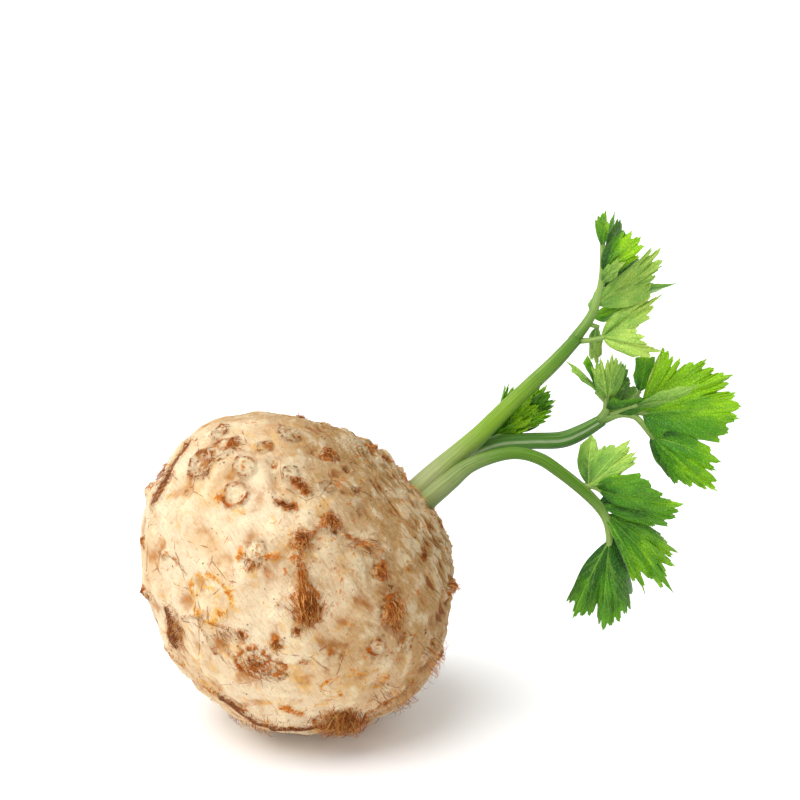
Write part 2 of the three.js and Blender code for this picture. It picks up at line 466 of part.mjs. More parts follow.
// A bent, tapered and channelled stem
function stemSolid({ route, widths }, margin) {
  const curve = new THREE.CatmullRomCurve3(route.map(seenPoint), false, 'centripetal');
  const steps = Math.max(2, Math.round(curve.getLength() / STEM_STEP));
  const frames = curve.computeFrenetFrames(steps);
  const thick = Math.max(...widths) > TWIG_WIDTH;
  const geometry = new THREE.CylinderGeometry(1, 1, 1, thick ? STEM_SIDES : TWIG_SIDES, steps);
  const position = geometry.attributes.position;
  for (let index = 0; index < position.count; index += 1) {
    const along = THREE.MathUtils.clamp(position.getY(index) + 0.5, 0, 1);
    const ring = Math.round(along * steps);
    const place = along * (widths.length - 1);
    const before = Math.min(Math.floor(place), widths.length - 2);
    const width = THREE.MathUtils.lerp(widths[before], widths[before + 1], place - before);
    const normal = frames.normals[ring];
    const binormal = frames.binormals[ring];
    const side = new THREE.Vector3()
      .addScaledVector(normal, position.getX(index))
      .addScaledVector(binormal, -position.getZ(index));
    const facesUp = Math.max(0, side.z) ** 4;
    const channel = thick ? CHANNEL_DEPTH * facesUp : 0;
    const radius = (width / 2) * (1 - channel) + margin;
    const spot = curve.getPointAt(along).addScaledVector(side, radius);
    position.setXYZ(index, spot.x, spot.y, spot.z);
  }
  return solidOf(geometry);
}

// The spot on the middle lines of the stems that is nearest to a place
function nearestOnStems(place, stems) {
  const samples = 60;
  const spots = stems.flatMap(({ route }) => {
    const curve = new THREE.CatmullRomCurve3(route.map(seenPoint), false, 'centripetal');
    return curve.getSpacedPoints(samples);
  });
  return spots.reduce((best, spot) => (spot.distanceTo(place) < best.distanceTo(place) ? spot : best));
}

// A leaflet: an arched and pleated blade with a toothed edge, the same faces on both sides
function bladeSolid({ base, tips }, stems, margin) {
  const root = nearestOnStems(seenPoint(base), stems);
  const teeth = tips.map((tip) => ({ spot: seenPoint(tip), cut: tip[3] ?? BLADE_CUT }));
  const facing = new THREE.Vector3();
  for (let index = 0; index + 1 < teeth.length; index += 1) {
    const first = teeth[index].spot.clone().sub(root);
    const second = teeth[index + 1].spot.clone().sub(root);
    facing.add(first.cross(second));
  }
  facing.normalize();
  const front = -Math.sign(facing.dot(FORWARD));
  const half = facing.clone().multiplyScalar(BLADE_HALF_THICKNESS + margin);
  const ends = [teeth[0].spot, teeth[teeth.length - 1].spot];
  const spread = Math.min(1, ends[0].distanceTo(ends[1]) / ends[0].distanceTo(root));
  const middles = teeth.map(({ spot }, index) => {
    const reach = spot.clone().sub(root);
    const rise = front * BLADE_ARCH * reach.length();
    const isFirst = index === 0 ? -1 : 0;
    const isLast = index === teeth.length - 1 ? 1 : 0;
    const sideways = facing.clone().cross(reach).multiplyScalar(BLADE_BULGE * spread * (isFirst + isLast));
    return root.clone().lerp(spot, 0.5).addScaledVector(facing, rise).add(sideways);
  });
  const notches = teeth.slice(1).map(({ spot }, index) => {
    const between = spot.clone().lerp(teeth[index].spot, 0.5);
    const rise = front * BLADE_PLEAT * between.distanceTo(root);
    return root.clone().lerp(between, 1 - teeth[index].cut).addScaledVector(facing, rise);
  });
  const sheet = [root, ...middles, ...teeth.map(({ spot }) => spot), ...notches];
  const middle = (index) => 1 + index;
  const tooth = (index) => 1 + teeth.length + index;
  const notch = (index) => 1 + 2 * teeth.length + index;
  const faces = [];
  const edge = [0, middle(0), tooth(0)];
  for (let index = 0; index + 1 < teeth.length; index += 1) {
    faces.push([0, middle(index), middle(index + 1)]);
    faces.push([middle(index), tooth(index), notch(index)]);
    faces.push([middle(index), notch(index), middle(index + 1)]);
    faces.push([middle(index + 1), notch(index), tooth(index + 1)]);
    edge.push(notch(index), tooth(index + 1));
  }
  edge.push(middle(teeth.length - 1));
  const count = sheet.length;
  const triangles = faces.flatMap(([a, b, c]) => [a, b, c, c + count, b + count, a + count]);
  edge.forEach((start, index) => {
    const end = edge[(index + 1) % edge.length];
    triangles.push(end, start, start + count, end, start + count, end + count);
  });
  const upperSide = sheet.map((spot) => spot.clone().add(half));
  const spots = upperSide.concat(sheet.map((spot) => spot.clone().sub(half)));
  const geometry = new THREE.BufferGeometry().setFromPoints(spots);
  geometry.setIndex(triangles);
  return solidOf(geometry);
}

// A stalk with all its twigs and leaflets as one solid
function leafSolid({ stems, leaflets }, margin) {
  const pieces = stems.map((stem) => stemSolid(stem, margin))
    .concat(leaflets.map((leaflet) => bladeSolid(leaflet, stems, margin)));
  return pieces.reduce((whole, piece) => whole.add(piece));
}

// A solid as a named mesh, with its shape given from an anchor point
function namedMesh(name, solid, anchor, material) {
  const { vertProperties, triVerts } = solid.getMesh();
  const geometry = new THREE.BufferGeometry();
  geometry.setAttribute('position', new THREE.BufferAttribute(vertProperties, 3));
  geometry.setIndex(new THREE.BufferAttribute(triVerts, 1));
  geometry.translate(-anchor.x, -anchor.y, -anchor.z);
  geometry.computeVertexNormals();
  const mesh = new THREE.Mesh(geometry, material);
  mesh.name = name;
  return mesh;
}

// Each stalk stands clear of the root and of the stalks before it
const rootWithGap = rootSolid(GAP);
const upper = mainBody(leafSolid(UPPER_STALK, 0).subtract(rootWithGap));
const upperWithGap = leafSolid(UPPER_STALK, GAP);
const lower = mainBody(leafSolid(LOWER_STALK, 0).subtract(rootWithGap).subtract(upperWithGap));
const lowerWithGap = leafSolid(LOWER_STALK, GAP);
const middle = mainBody(leafSolid(MIDDLE_STALK, 0).subtract(rootWithGap).subtract(upperWithGap)
  .subtract(lowerWithGap));
const middleWithGap = leafSolid(MIDDLE_STALK, GAP);
const young = mainBody(leafSolid(YOUNG_LEAVES, 0).subtract(rootWithGap).subtract(upperWithGap)
  .subtract(lowerWithGap).subtract(middleWithGap));

const crownSpot = ROOT_MIDDLE.clone().addScaledVector(CROWN, ROOT_DEPTH_RADIUS);
const celeriac = new THREE.Group();
const root = namedMesh('root', rootSolid(0), ROOT_MIDDLE, FLESH);
root.position.copy(ROOT_MIDDLE);
celeriac.add(root);
const leaves = new THREE.Group();
leaves.position.copy(crownSpot);
leaves.add(namedMesh('upper_stalk', upper, crownSpot, UPPER_GREEN));
leaves.add(namedMesh('middle_stalk', middle, crownSpot, MIDDLE_GREEN));
leaves.add(namedMesh('lower_stalk', lower, crownSpot, LOWER_GREEN));
leaves.add(namedMesh('young_leaves', young, crownSpot, YOUNG_GREEN));
celeriac.add(leaves);

export default celeriac;
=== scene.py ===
# %% [markdown]
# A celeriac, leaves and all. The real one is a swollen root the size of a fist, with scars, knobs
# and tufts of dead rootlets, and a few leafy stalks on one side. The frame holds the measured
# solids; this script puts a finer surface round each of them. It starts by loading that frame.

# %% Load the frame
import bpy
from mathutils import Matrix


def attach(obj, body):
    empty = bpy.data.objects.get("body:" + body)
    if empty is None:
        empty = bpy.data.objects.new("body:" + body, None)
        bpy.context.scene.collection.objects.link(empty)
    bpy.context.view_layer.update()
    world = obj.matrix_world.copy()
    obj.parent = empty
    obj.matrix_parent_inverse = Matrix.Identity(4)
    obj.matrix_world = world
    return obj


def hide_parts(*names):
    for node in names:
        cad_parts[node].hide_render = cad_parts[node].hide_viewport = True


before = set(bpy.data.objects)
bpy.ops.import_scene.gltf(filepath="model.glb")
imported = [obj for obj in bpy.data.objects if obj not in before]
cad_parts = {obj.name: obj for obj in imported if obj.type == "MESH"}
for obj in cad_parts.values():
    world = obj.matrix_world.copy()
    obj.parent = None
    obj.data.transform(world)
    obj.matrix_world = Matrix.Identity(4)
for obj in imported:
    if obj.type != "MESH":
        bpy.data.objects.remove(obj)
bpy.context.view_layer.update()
print("nodes in the frame:", sorted(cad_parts))

# %% [markdown]
# Blender works in metres, and a root is easier to think of in millimetres. So every size below is
# written in millimetres and multiplied by MM once. Colours are written as a paint chart would give
# them, from 0 to 255, and changed to Blender's linear light by one small function. Another gives
# random numbers that are the same in every run, so that the finer skin fits the solid under it.

# %% Units and colours
import math
import random

import bpy
import numpy as np
from mathutils import Quaternion, Vector, noise

MM = 0.001
FULL_TURN = 2 * math.pi


def paint(red, green, blue):
    """A colour from a paint chart in linear light, with its alpha."""
    parts = [value / 255 for value in (red, green, blue)]
    linear = [p / 12.92 if p <= 0.04045 else ((p + 0.055) / 1.055) ** 2.4 for p in parts]
    return (*linear, 1.0)


def draws(seed):
    """Repeatable numbers from 0 to 1, by the same simple rule as in the solid."""
    while True:
        seed = (seed * 1664525 + 1013904223) % 2 ** 32
        yield seed / 2 ** 32


print("pure white is", paint(255, 255, 255))

# %% [markdown]
# The camera comes first, because places on the root and the leaves are given as they are seen: so
# many millimetres across and up from the root's middle. It looks slightly down through a long
# lens, which keeps the root from bulging towards the viewer.

# %% Camera
ROOT_MIDDLE = Vector((-9.5, 0, 58)) * MM
VIEW_TILT = math.radians(15)
VIEW_DISTANCE = 718 * MM
VIEW_ACROSS = 39.9 * MM
VIEW_UP = 66.5 * MM
LENS = 85
NEAREST_SEEN = 0.01
RIGHT = Vector((1, 0, 0))
FORWARD = Vector((0, math.cos(VIEW_TILT), -math.sin(VIEW_TILT)))
UPWARD = Vector((0, math.sin(VIEW_TILT), math.cos(VIEW_TILT)))
VIEWER = ROOT_MIDDLE + RIGHT * VIEW_ACROSS + UPWARD * VIEW_UP - FORWARD * VIEW_DISTANCE

bpy.ops.object.select_all(action="DESELECT")
bpy.ops.object.camera_add(location=VIEWER, rotation=(math.pi / 2 - VIEW_TILT, 0, 0))
camera = bpy.context.object
camera.name = "camera"
camera.data.lens = LENS
camera.data.clip_start = NEAREST_SEEN
bpy.context.scene.camera = camera
print("camera at", tuple(round(value, 3) for value in camera.location))


# %% [markdown]
# Two helpers turn a seen place into a point. The first gives a point at a chosen depth behind the
# root's middle, for stalks and leaves. The second casts a line of sight onto the root, for scars
# and tufts, and finds the spot where it meets the skin. It steps closer a few times, because the
# root isn't quite round: its outline is a smooth curve through the radii listed here.

# %% Places as they are seen
ROOT_DEPTH_RADIUS = 60.0
SIGHT_STEPS = 4
OUTLINE_RADII = np.array([
    59.0, 57.9, 56.2, 58.0, 60.0, 63.6, 66.6, 63.4, 62.6,
    57.4, 54.8, 55.4, 55.5, 58.4, 60.6, 61.6, 63.0, 60.8,
])


def seen_point(place):
    """The point that is seen across and up from the root's middle, at a depth behind it."""
    across, up, behind = place[:3]
    flat = ROOT_MIDDLE + RIGHT * (across * MM) + UPWARD * (up * MM)
    along = (behind * MM - VIEWER.y) / (flat.y - VIEWER.y)
    return VIEWER.lerp(flat, along)


def smooth(a, b, c, d, part):
    """The place that is part of the way from b to c, on a smooth curve through all four."""
    return 0.5 * (2 * b + (c - a) * part + (2 * a - 5 * b + 4 * c - d) * part ** 2
                  + (3 * b - a - 3 * c + d) * part ** 3)


def outline_radius(ways):
    """Millimetres from the root's middle to its smooth outline, for rows of directions."""
    across = ways @ np.array(RIGHT)
    up = ways @ np.array(UPWARD)
    count = len(OUTLINE_RADII)
    turn = (np.arctan2(up, across) / FULL_TURN + 1) * count
    first = np.floor(turn).astype(int)
    part = turn - first
    four = [OUTLINE_RADII[(first + step) % count] for step in (-1, 0, 1, 2)]
    curve = smooth(*four, part)
    edge_on = across ** 2 + up ** 2
    return ROOT_DEPTH_RADIUS + (curve - ROOT_DEPTH_RADIUS) * edge_on


def seen_direction(place):
    """The direction from the root's middle to the spot on its front that is seen at a place."""
    flat = ROOT_MIDDLE + RIGHT * (place[0] * MM) + UPWARD * (place[1] * MM)
    sight = (flat - VIEWER).normalized()
    nearest = VIEWER + sight * (ROOT_MIDDLE - VIEWER).dot(sight)
    way = (nearest - ROOT_MIDDLE).normalized()
    for _ in range(SIGHT_STEPS):
        radius = float(outline_radius(np.array([way]))[0]) * MM
        gap = (nearest - ROOT_MIDDLE).length
        if gap < radius:
            spot = nearest - sight * math.sqrt(radius ** 2 - gap ** 2)
            way = (spot - ROOT_MIDDLE).normalized()
    return np.array(way)


print("middle of the view on the root:", seen_direction((0, 0)).round(2))

# %% [markdown]
# A root's skin is a record of its life. Its marks are listed by kind, each with the place where
# it is seen, its size, how far its middle rises or sinks, how far its rim rises and, for a long
# one, where it ends. A ring is the orange edge of a cut rootlet, a tuft is dead brown rootlets,
# bark is a streak of dark cork, a pit is a hole and a halo is a stain. All of it could be painted
# on an image, but places in a list are easy to read, to move and to correct.

# %% Marks on the skin
SEEN_MARKS = {
    "bark": [
        ((-41.4, 47.4), 4.2, -0.3, 0.3, (-52.8, 29.6)),
        ((-47.6, 36.6), 4.0, 0.3, 0, (-51.8, 30.6)),
        ((-48.6, -14.0), 3.6, 0.8, 0, (-46.4, -27.0)),
        ((-27.0, -46.4), 3.4, 1.0, 0, (-8.7, -57.0)), ((-8.7, -57.8), 2.4, 0.8, 0, (10.0, -59.0)),
    ],
    "scar": [
        ((-35.3, 41.4), 5.2, -0.9, 1.2), ((-28.5, 46.4), 4.4, 0.8),
        ((-28.1, 52.6), 2.8, 0.2, 0.7), ((-1.5, 38.6), 2.6, 0.3, 0.8),
        ((-1.9, 52.8), 3.6, 0.2, 0.7), ((-11.6, 48.4), 2.2, 0.2, 0.5),
        ((11.8, 34.2), 2.8, 0.3, 0.6), ((41.8, -25.5), 3.4, 0.2, 0.7),
    ],
    "pit": [
        ((-33.0, 38.6), 2.2, -1.0), ((20.5, 41.0), 2.2, -1.2, 0.6), ((23.6, 31.9), 2.0, -0.6),
        ((5.4, -11.5), 2.4, -1.6), ((36.5, -5.3), 1.8, 0.6), ((49.0, -21.7), 1.8, 0.3),
        ((19.0, -54.0), 2.6, -0.6),
    ],
    "tuft": [
        ((-22.4, 48.6), 2.2, 1.4), ((-5.4, 27.6), 1.9, 0.3, 0, (-1.7, 26.2)),
        ((0.8, 35.0), 1.8, 1.2, 0, (4.6, 31.0)), ((13.3, 46.0), 3.6, 1.8),
        ((28.9, 48.6), 2.6, 1.4), ((13.7, 19.8), 3.6, 2.2), ((2.3, 12.9), 3.6, 1.6),
        ((4.0, -9.0), 4.6, 2.8, 0, (4.8, -14.0)), ((0.6, -21.0), 2.0, 0.4),
        ((32.3, 1.9), 3.0, 1.8), ((37.2, -12.6), 4.6, 1.8), ((52.1, -25.4), 2.2, 0.6),
        ((58.1, -4.6), 3.0, 2.0), ((48.3, 8.0), 2.2, 0.7), ((54.7, -30.0), 2.2, 1.2),
        ((-7.6, -25.8), 2.3, 1.4), ((-20.1, -22.4), 1.7, 0.5),
        ((12.0, -56.4), 4.6, 2.6, 0, (22.0, -55.6)), ((-56.2, -6.8), 2.6, 1.4),
        ((-58.9, 13.3), 2.6, 1.4),
    ],
    "ring": [
        ((-19.0, 40.3), 3.2, 0.5, 0.9), ((-23.0, 30.4), 4.2, 0.5, 0.8),
        ((31.2, -27.7), 2.8, 0.2, 0.7),
    ],
    "orange": [
        ((-29.0, 29.6), 2.4, 0.6), ((-9.4, 6.6), 1.9, 0.7, 0, (-5.6, 7.2)),
        ((-20.9, 6.8), 1.7, 0.4), ((-30.0, -0.4), 1.6, 0.2), ((-27.2, -3.0), 1.4, 0.2),
        ((-25.6, -6.5), 1.6, 0.2), ((-28.5, -15.2), 1.5, 0.2), ((17.0, -45.4), 1.6, 0.2),
        ((34.4, -38.6), 1.5, 0.2), ((22.0, -37.4), 1.3, 0.2),
        ((-4.0, -49.8), 2.2, 0.2, 0, (1.6, -53.0)),
    ],
    "rust": [
        ((-41.0, 30.8), 1.8, 0.5), ((-8.2, 42.6), 1.5, -0.6),
        ((1.9, 13.3), 1.6, 1.0, 0, (13.7, 19.8)), ((13.7, 19.8), 1.5, 1.2, 0, (19.0, 15.2)),
        ((19.0, 15.2), 1.6, 1.1, 0, (32.3, 8.6)), ((-16.3, 3.0), 1.8, 0.5),
        ((-6.1, -11.8), 1.3, 0.0), ((43.3, 3.0), 1.8, 0.4), ((14.0, -30.2), 1.7, 0.2),
        ((19.0, -31.2), 1.7, 0.2), ((3.4, -33.1), 2.2, 0.2),
        ((30.0, -51.6), 2.0, 0.6, 0, (44.0, -41.0)),
        ((-48.0, -28.4), 2.4, 0.6, 0, (-29.0, -45.6)), ((-50.5, 7.5), 2.4, 0.4),
    ],
    "dent": [
        ((-8.4, 43.0), 2.2, -2.2, 0, (-8.0, 37.0)), ((-6.6, 38.0), 3.0, -1.8, 0.4, (-4.6, 28.5)),
        ((13.0, 11.5), 5.0, 1.1), ((-11.4, -12.5), 4.0, -1.0),
        ((20.5, 11.4), 2.2, 0.7, 0, (31.5, -17.1)),
    ],
    "knob": [
        ((-14.8, 8.7), 3.8, 2.2),
    ],
    "disc": [
        ((-34.0, -9.4), 5.4, 0.3, 0.5),
    ],
    "halo": [
        ((-33.0, -9.1), 9.0, 0.2, 0.4), ((14.0, -43.4), 4.0, 0.2, 0.5, (31.0, -39.4)),
    ],
    "line": [
        ((1.6, 9.0), 3.4, 1.8, 0, (3.2, -8.0)), ((-44.0, -16.6), 0.9, 0.8, 0, (-36.0, -16.2)),
        ((-36.0, -16.2), 0.8, 0.7, 0, (-22.8, -21.4)),
        ((-37.0, -16.6), 0.9, 0.8, 0, (-30.0, -30.0)),
        ((-30.4, -25.0), 1.0, 0.8, 0, (-23.0, -30.4)), ((-53.0, 9.0), 0.7, 0.5, 0, (-47.0, 7.0)),
        ((-47.0, 7.0), 0.7, 0.5, 0, (-42.0, 0.0)),
    ],
    "crust": [
        ((-15.6, -33.4), 6.2, 1.7, 0.5), ((-7.2, -36.1), 3.8, 1.0),
    ],
}
print(sum(len(rows) for rows in SEEN_MARKS.values()), "marks that are seen")

# %% [markdown]
# The sides that aren't seen get marks of the same kinds. They could be listed too, but nobody can
# see where they are, so a rule spreads them. It is the rule that the solid follows, so each finer
# mark lies on the plain one under it.

# %% Marks on the other sides
HIDDEN_MARKS = 64
HIDDEN_KINDS = ("tuft", "scar", "ring", "rust", "disc", "orange")
LEAST_MARK = 2.0
MARK_RANGE = 3.4


def seen_mark(kind, at, size, rise, rim=0.0, to=None):
    """One listed mark, with the directions of its two ends."""
    ends = dict(start=seen_direction(at), end=seen_direction(to or at))
    return dict(ends, size=size, rise=rise, rim=rim, kind=kind)


def hidden_marks():
    """Marks spread over the sides that the viewer doesn't see, the same as in the solid."""
    numbers = draws(41)
    marks = []
    while len(marks) < HIDDEN_MARKS:
        height = next(numbers) * 2 - 1
        turn = next(numbers) * FULL_TURN
        wide = math.sqrt(1 - height ** 2)
        way = np.array((wide * math.cos(turn), wide * math.sin(turn), height))
        size = LEAST_MARK + MARK_RANGE * next(numbers) ** 2
        chance = next(numbers)
        if way @ np.array(FORWARD) > -0.08 and way @ CROWN < 0.9:
            rise = size * (-0.3 if chance < 0.25 else 0.45)
            rim = 0.8 if chance < 0.4 else 0.0
            kind = "pit" if chance < 0.12 else HIDDEN_KINDS[len(marks) % len(HIDDEN_KINDS)]
            marks.append(dict(start=way, end=way, size=size, rise=rise, rim=rim, kind=kind))
    return marks


CROWN = np.array(Vector((0.811, 0.208, 0.547)).normalized())
SEEN = [seen_mark(kind, *row) for kind, rows in SEEN_MARKS.items() for row in rows]
ALL_MARKS = SEEN + hidden_marks()
print(len(ALL_MARKS), "marks in all")


# %% [markdown]
# The relief is a sum: broad swellings and low lumps, rings of old leaf bases round the crown, the
# marks, a fine grain, and fibre ridges. A sculpted mesh could hold it too, but a formula can be
# read and repeated. It is worked out for many directions at once, which numpy does far faster
# than a loop would. The broad forms come first.

# %% Broad forms of the root
SWELL_HEIGHT = 0.9
SWELL_WAVES = 7
RING_SPACING = 9.0
RING_HEIGHT = 0.6
RING_REACH = 34.0
LUMP_HEIGHT = 1.1
LUMP_SCALE = 4.6


def unit(rows):
    """Rows of vectors, each made one long."""
    return rows / np.linalg.norm(rows, axis=1)[:, None]


def noise_at(points, scale, seed=0.0, octaves=1):
    """Noise from about -1 to 1 at rows of points, with finer noise on top for each octave."""
    rows = points * scale + np.array((seed, seed * 1.7, -seed))
    if octaves == 1:
        return np.array([noise.noise(row) for row in rows])
    return np.array([noise.fractal(row, 0.8, 2.1, octaves) for row in rows])


def swells():
    """The directions, counts and starts of the broad swellings, the same as in the solid."""
    numbers = draws(7)
    waves = []
    for _ in range(SWELL_WAVES):
        way = Vector([next(numbers) - 0.5 for _ in range(3)]).normalized()
        waves.append((np.array(way), 4 + 5 * next(numbers), FULL_TURN * next(numbers)))
    return waves


SWELLS = swells()


def crown_reach(ways):
    """Millimetres along the skin from the crown."""
    return ROOT_DEPTH_RADIUS * np.arccos(np.clip(ways @ CROWN, -1, 1))


def lumps(ways):
    """Low lumps and hollows, a centimetre or two apart."""
    return LUMP_HEIGHT * noise_at(ways, LUMP_SCALE, 14.0, octaves=2)


def plain_height(ways):
    """The swellings, the lumps and the rings round the crown."""
    waves = sum(np.sin(count * (ways @ way) + start) for way, count, start in SWELLS)
    reach = crown_reach(ways)
    fade = np.exp(-(reach / RING_REACH) ** 4)
    rings = RING_HEIGHT * np.cos(FULL_TURN * reach / RING_SPACING)
    return SWELL_HEIGHT * waves / math.sqrt(SWELL_WAVES) + lumps(ways) + fade * rings


middle_way = seen_direction((0, 0))[None, :]
print("broad forms in front of the middle:", plain_height(middle_way).round(1), "mm")


# %% [markdown]
# Each mark has a body, a rim and inner rings, by how far a point is from its middle line. Two
# tricks make them look grown. The grid is drawn together round each mark, so that small relief
# gets more faces, and the directions are shaken a little, so that no scar is a true circle.

# %% Relief of the marks
GATHER_SHARE = 0.38
GATHER_LIMIT = 0.5
GATHER_REACH = 1.7


def from_mark(mark, ways):
    """Vectors from rows of directions to the nearest spot on a mark's middle line."""
    line = mark["end"] - mark["start"]
    long = max(float(line @ line), 1e-12)
    part = np.clip((ways - mark["start"]) @ line / long, 0, 1)
    return mark["start"] + part[:, None] * line - ways


def mark_profile(mark, ways):
    """How much of a mark's middle, rim and inner rings there is, and of the stain round it."""
    away = np.linalg.norm(from_mark(mark, ways), axis=1) * ROOT_DEPTH_RADIUS / mark["size"]
    thin = max(0.1, 0.36 / mark["size"])
    rings = np.exp(-((away - 0.62) / thin) ** 2) + 0.8 * np.exp(-((away - 0.3) / thin) ** 2)
    rim = np.exp(-((away - 1) / (thin * 1.9)) ** 2)
    return np.exp(-(away / 0.85) ** 4), rim, rings, np.exp(-(away / 1.6) ** 2)


def gathered(ways):
    """Directions drawn towards the marks, so that small relief gets more faces."""
    shift = np.zeros_like(ways)
    total = np.zeros(len(ways))
    for mark in ALL_MARKS:
        towards = from_mark(mark, ways)
        away = np.linalg.norm(towards, axis=1) * ROOT_DEPTH_RADIUS
        share = GATHER_SHARE * np.exp(-(away / (GATHER_REACH * mark["size"])) ** 2)
        shift += towards * share[:, None]
        total += share
    limit = np.minimum(1, GATHER_LIMIT / np.maximum(total, 1e-9))
    return unit(ways + shift * limit[:, None])


def ragged(ways):
    """Directions shaken a little, so that no scar is a true circle."""
    wobble = np.stack([noise_at(ways, 9.0, seed) for seed in (11.0, 23.0, 37.0)], axis=1)
    fine = np.stack([noise_at(ways, 24.0, seed) for seed in (5.0, 17.0, 29.0)], axis=1)
    return unit(ways + 0.022 * wobble + 0.01 * fine)


def mark_height(shaken):
    """The rise of all marks, their rims and their inner rings."""
    height = np.zeros(len(shaken))
    for mark in ALL_MARKS:
        body, rim, rings, _ = mark_profile(mark, shaken)
        height += mark["rise"] * body + mark["rim"] * (rim + 0.45 * rings)
    return height


print("marks in front of the middle:", mark_height(middle_way).round(2), "mm")


# %% [markdown]
# Fibre ridges run round the crown like the lines of latitude on a globe, so they are noise in the
# crown's own coordinates. Corky marks get crumbs, and everything gets a little grain. The sum of
# it all is the root's radius in any direction.

# %% Fibres, grain and the whole relief
FIBRE_HEIGHT = 1.0
FIBRE_REACH = 56.0
FIBRE_CREST = 30.0
FIBRE_WANDER = 1.6
GRAIN_HEIGHT = 0.5
GRAIN_SCALE = 9.0
CRUST_HEIGHT = 1.3
CRUST_SCALE = 30.0
WOOLLY_KINDS = {"crust": 1.0, "tuft": 0.9, "scar": 0.6, "knob": 0.4, "rust": 0.4}


def around_crown(ways):
    """Rows of directions as places on a globe with the crown as its pole, for the fibres."""
    side = np.cross(CROWN, (0, 0, 1.0))
    side = side / np.linalg.norm(side)
    other = np.cross(CROWN, side)
    turn = np.arctan2(ways @ other, ways @ side)
    return np.stack((crown_reach(ways), np.cos(turn), np.sin(turn)), axis=1)


def fibre_height(ways):
    """Fine ridges along the rings round the crown, strongest near it."""
    places = around_crown(ways)
    reach = places[:, 0].copy()
    wander = noise_at(ways, 5.0, 3.0)
    places[:, 0] = reach * 0.5 + wander * FIBRE_WANDER
    places[:, 1:] *= (1.6 + reach / 26)[:, None]
    ridges = 0.7 - 2.4 * np.abs(noise_at(places, 1.0)) + 0.7 * noise_at(places, 2.3, 4.0)
    patchy = 0.65 + 0.5 * noise_at(ways, 3.4, 8.0)
    fade = np.exp(-(reach / FIBRE_REACH) ** 3) + 0.08 + 0.9 * np.exp(-(reach / FIBRE_CREST) ** 2)
    return FIBRE_HEIGHT * ridges * fade * patchy


def fine_height(ways, shaken):
    """Fibres, grain and the roughness of corky marks, whose hollows get soil and painted shade."""
    rough = np.zeros(len(ways))
    for mark in ALL_MARKS:
        body, rim, _, _ = mark_profile(mark, shaken)
        rough = np.maximum(rough, WOOLLY_KINDS.get(mark["kind"], 0) * np.maximum(body, rim))
    crumbs = noise_at(ways, CRUST_SCALE, 2.0, octaves=3)
    grain = noise_at(ways, GRAIN_SCALE, 6.0, octaves=4)
    return fibre_height(ways) + CRUST_HEIGHT * rough * crumbs + GRAIN_HEIGHT * grain


def root_radius(ways):
    """Millimetres from the root's middle to its finished skin."""
    shaken = ragged(ways)
    plain = outline_radius(ways) + plain_height(ways)
    return plain + mark_height(shaken) + fine_height(ways, shaken)


print("skin in front of the middle:", root_radius(middle_way).round(1), "mm")


# %% [markdown]
# The skin starts as a cube, cut into a fine grid and blown up to a ball. A cube gives nearly equal
# faces all over, where a globe of rings and sectors would waste most of them at its poles. The
# grid is then drawn together round the marks, each point is moved to the skin, and one cut makes
# the small flat spot that the root rests on.

# %% Root skin
CUBE_LEVELS = 7


def select_only(item):
    """Deselects everything but one object, and makes that one active."""
    bpy.ops.object.select_all(action="DESELECT")
    item.select_set(True)
    bpy.context.view_layer.objects.active = item


def apply_modifier(item, kind, **settings):
    """Adds a modifier to an object, sets it and applies it."""
    select_only(item)
    modifier = item.modifiers.new(kind.lower(), kind)
    for key, value in settings.items():
        setattr(modifier, key, value)
    bpy.ops.object.modifier_apply(modifier=modifier.name)


def edit_all(item, operator, **settings):
    """Runs one mesh operator on all faces of an object."""
    select_only(item)
    bpy.ops.object.mode_set(mode="EDIT")
    bpy.ops.mesh.select_all(action="SELECT")
    operator(**settings)
    bpy.ops.object.mode_set(mode="OBJECT")


def read_points(mesh):
    """The places of a mesh's points, as rows."""
    rows = np.empty(len(mesh.vertices) * 3)
    mesh.vertices.foreach_get("co", rows)
    return rows.reshape(-1, 3)


def write_points(mesh, rows):
    """Moves a mesh's points."""
    mesh.vertices.foreach_set("co", rows.ravel())
    mesh.update()


def write_values(mesh, name, values):
    """Keeps one number for each point of a mesh, for its material to read."""
    layer = mesh.attributes.new(name, "FLOAT", "POINT")
    layer.data.foreach_set("value", np.asarray(values, dtype=np.float32))


bpy.ops.object.select_all(action="DESELECT")
bpy.ops.mesh.primitive_cube_add(size=2)
root_skin = bpy.context.object
root_skin.name = "celeriac_root"
apply_modifier(root_skin, "SUBSURF", subdivision_type="SIMPLE", levels=CUBE_LEVELS,
               render_levels=CUBE_LEVELS)
skin_ways = gathered(unit(np.tan(read_points(root_skin.data) * math.pi / 4)))
skin_radius = root_radius(skin_ways)
write_points(root_skin.data, np.array(ROOT_MIDDLE) + skin_ways * skin_radius[:, None] * MM)
print("skin has", len(root_skin.data.polygons), "faces")
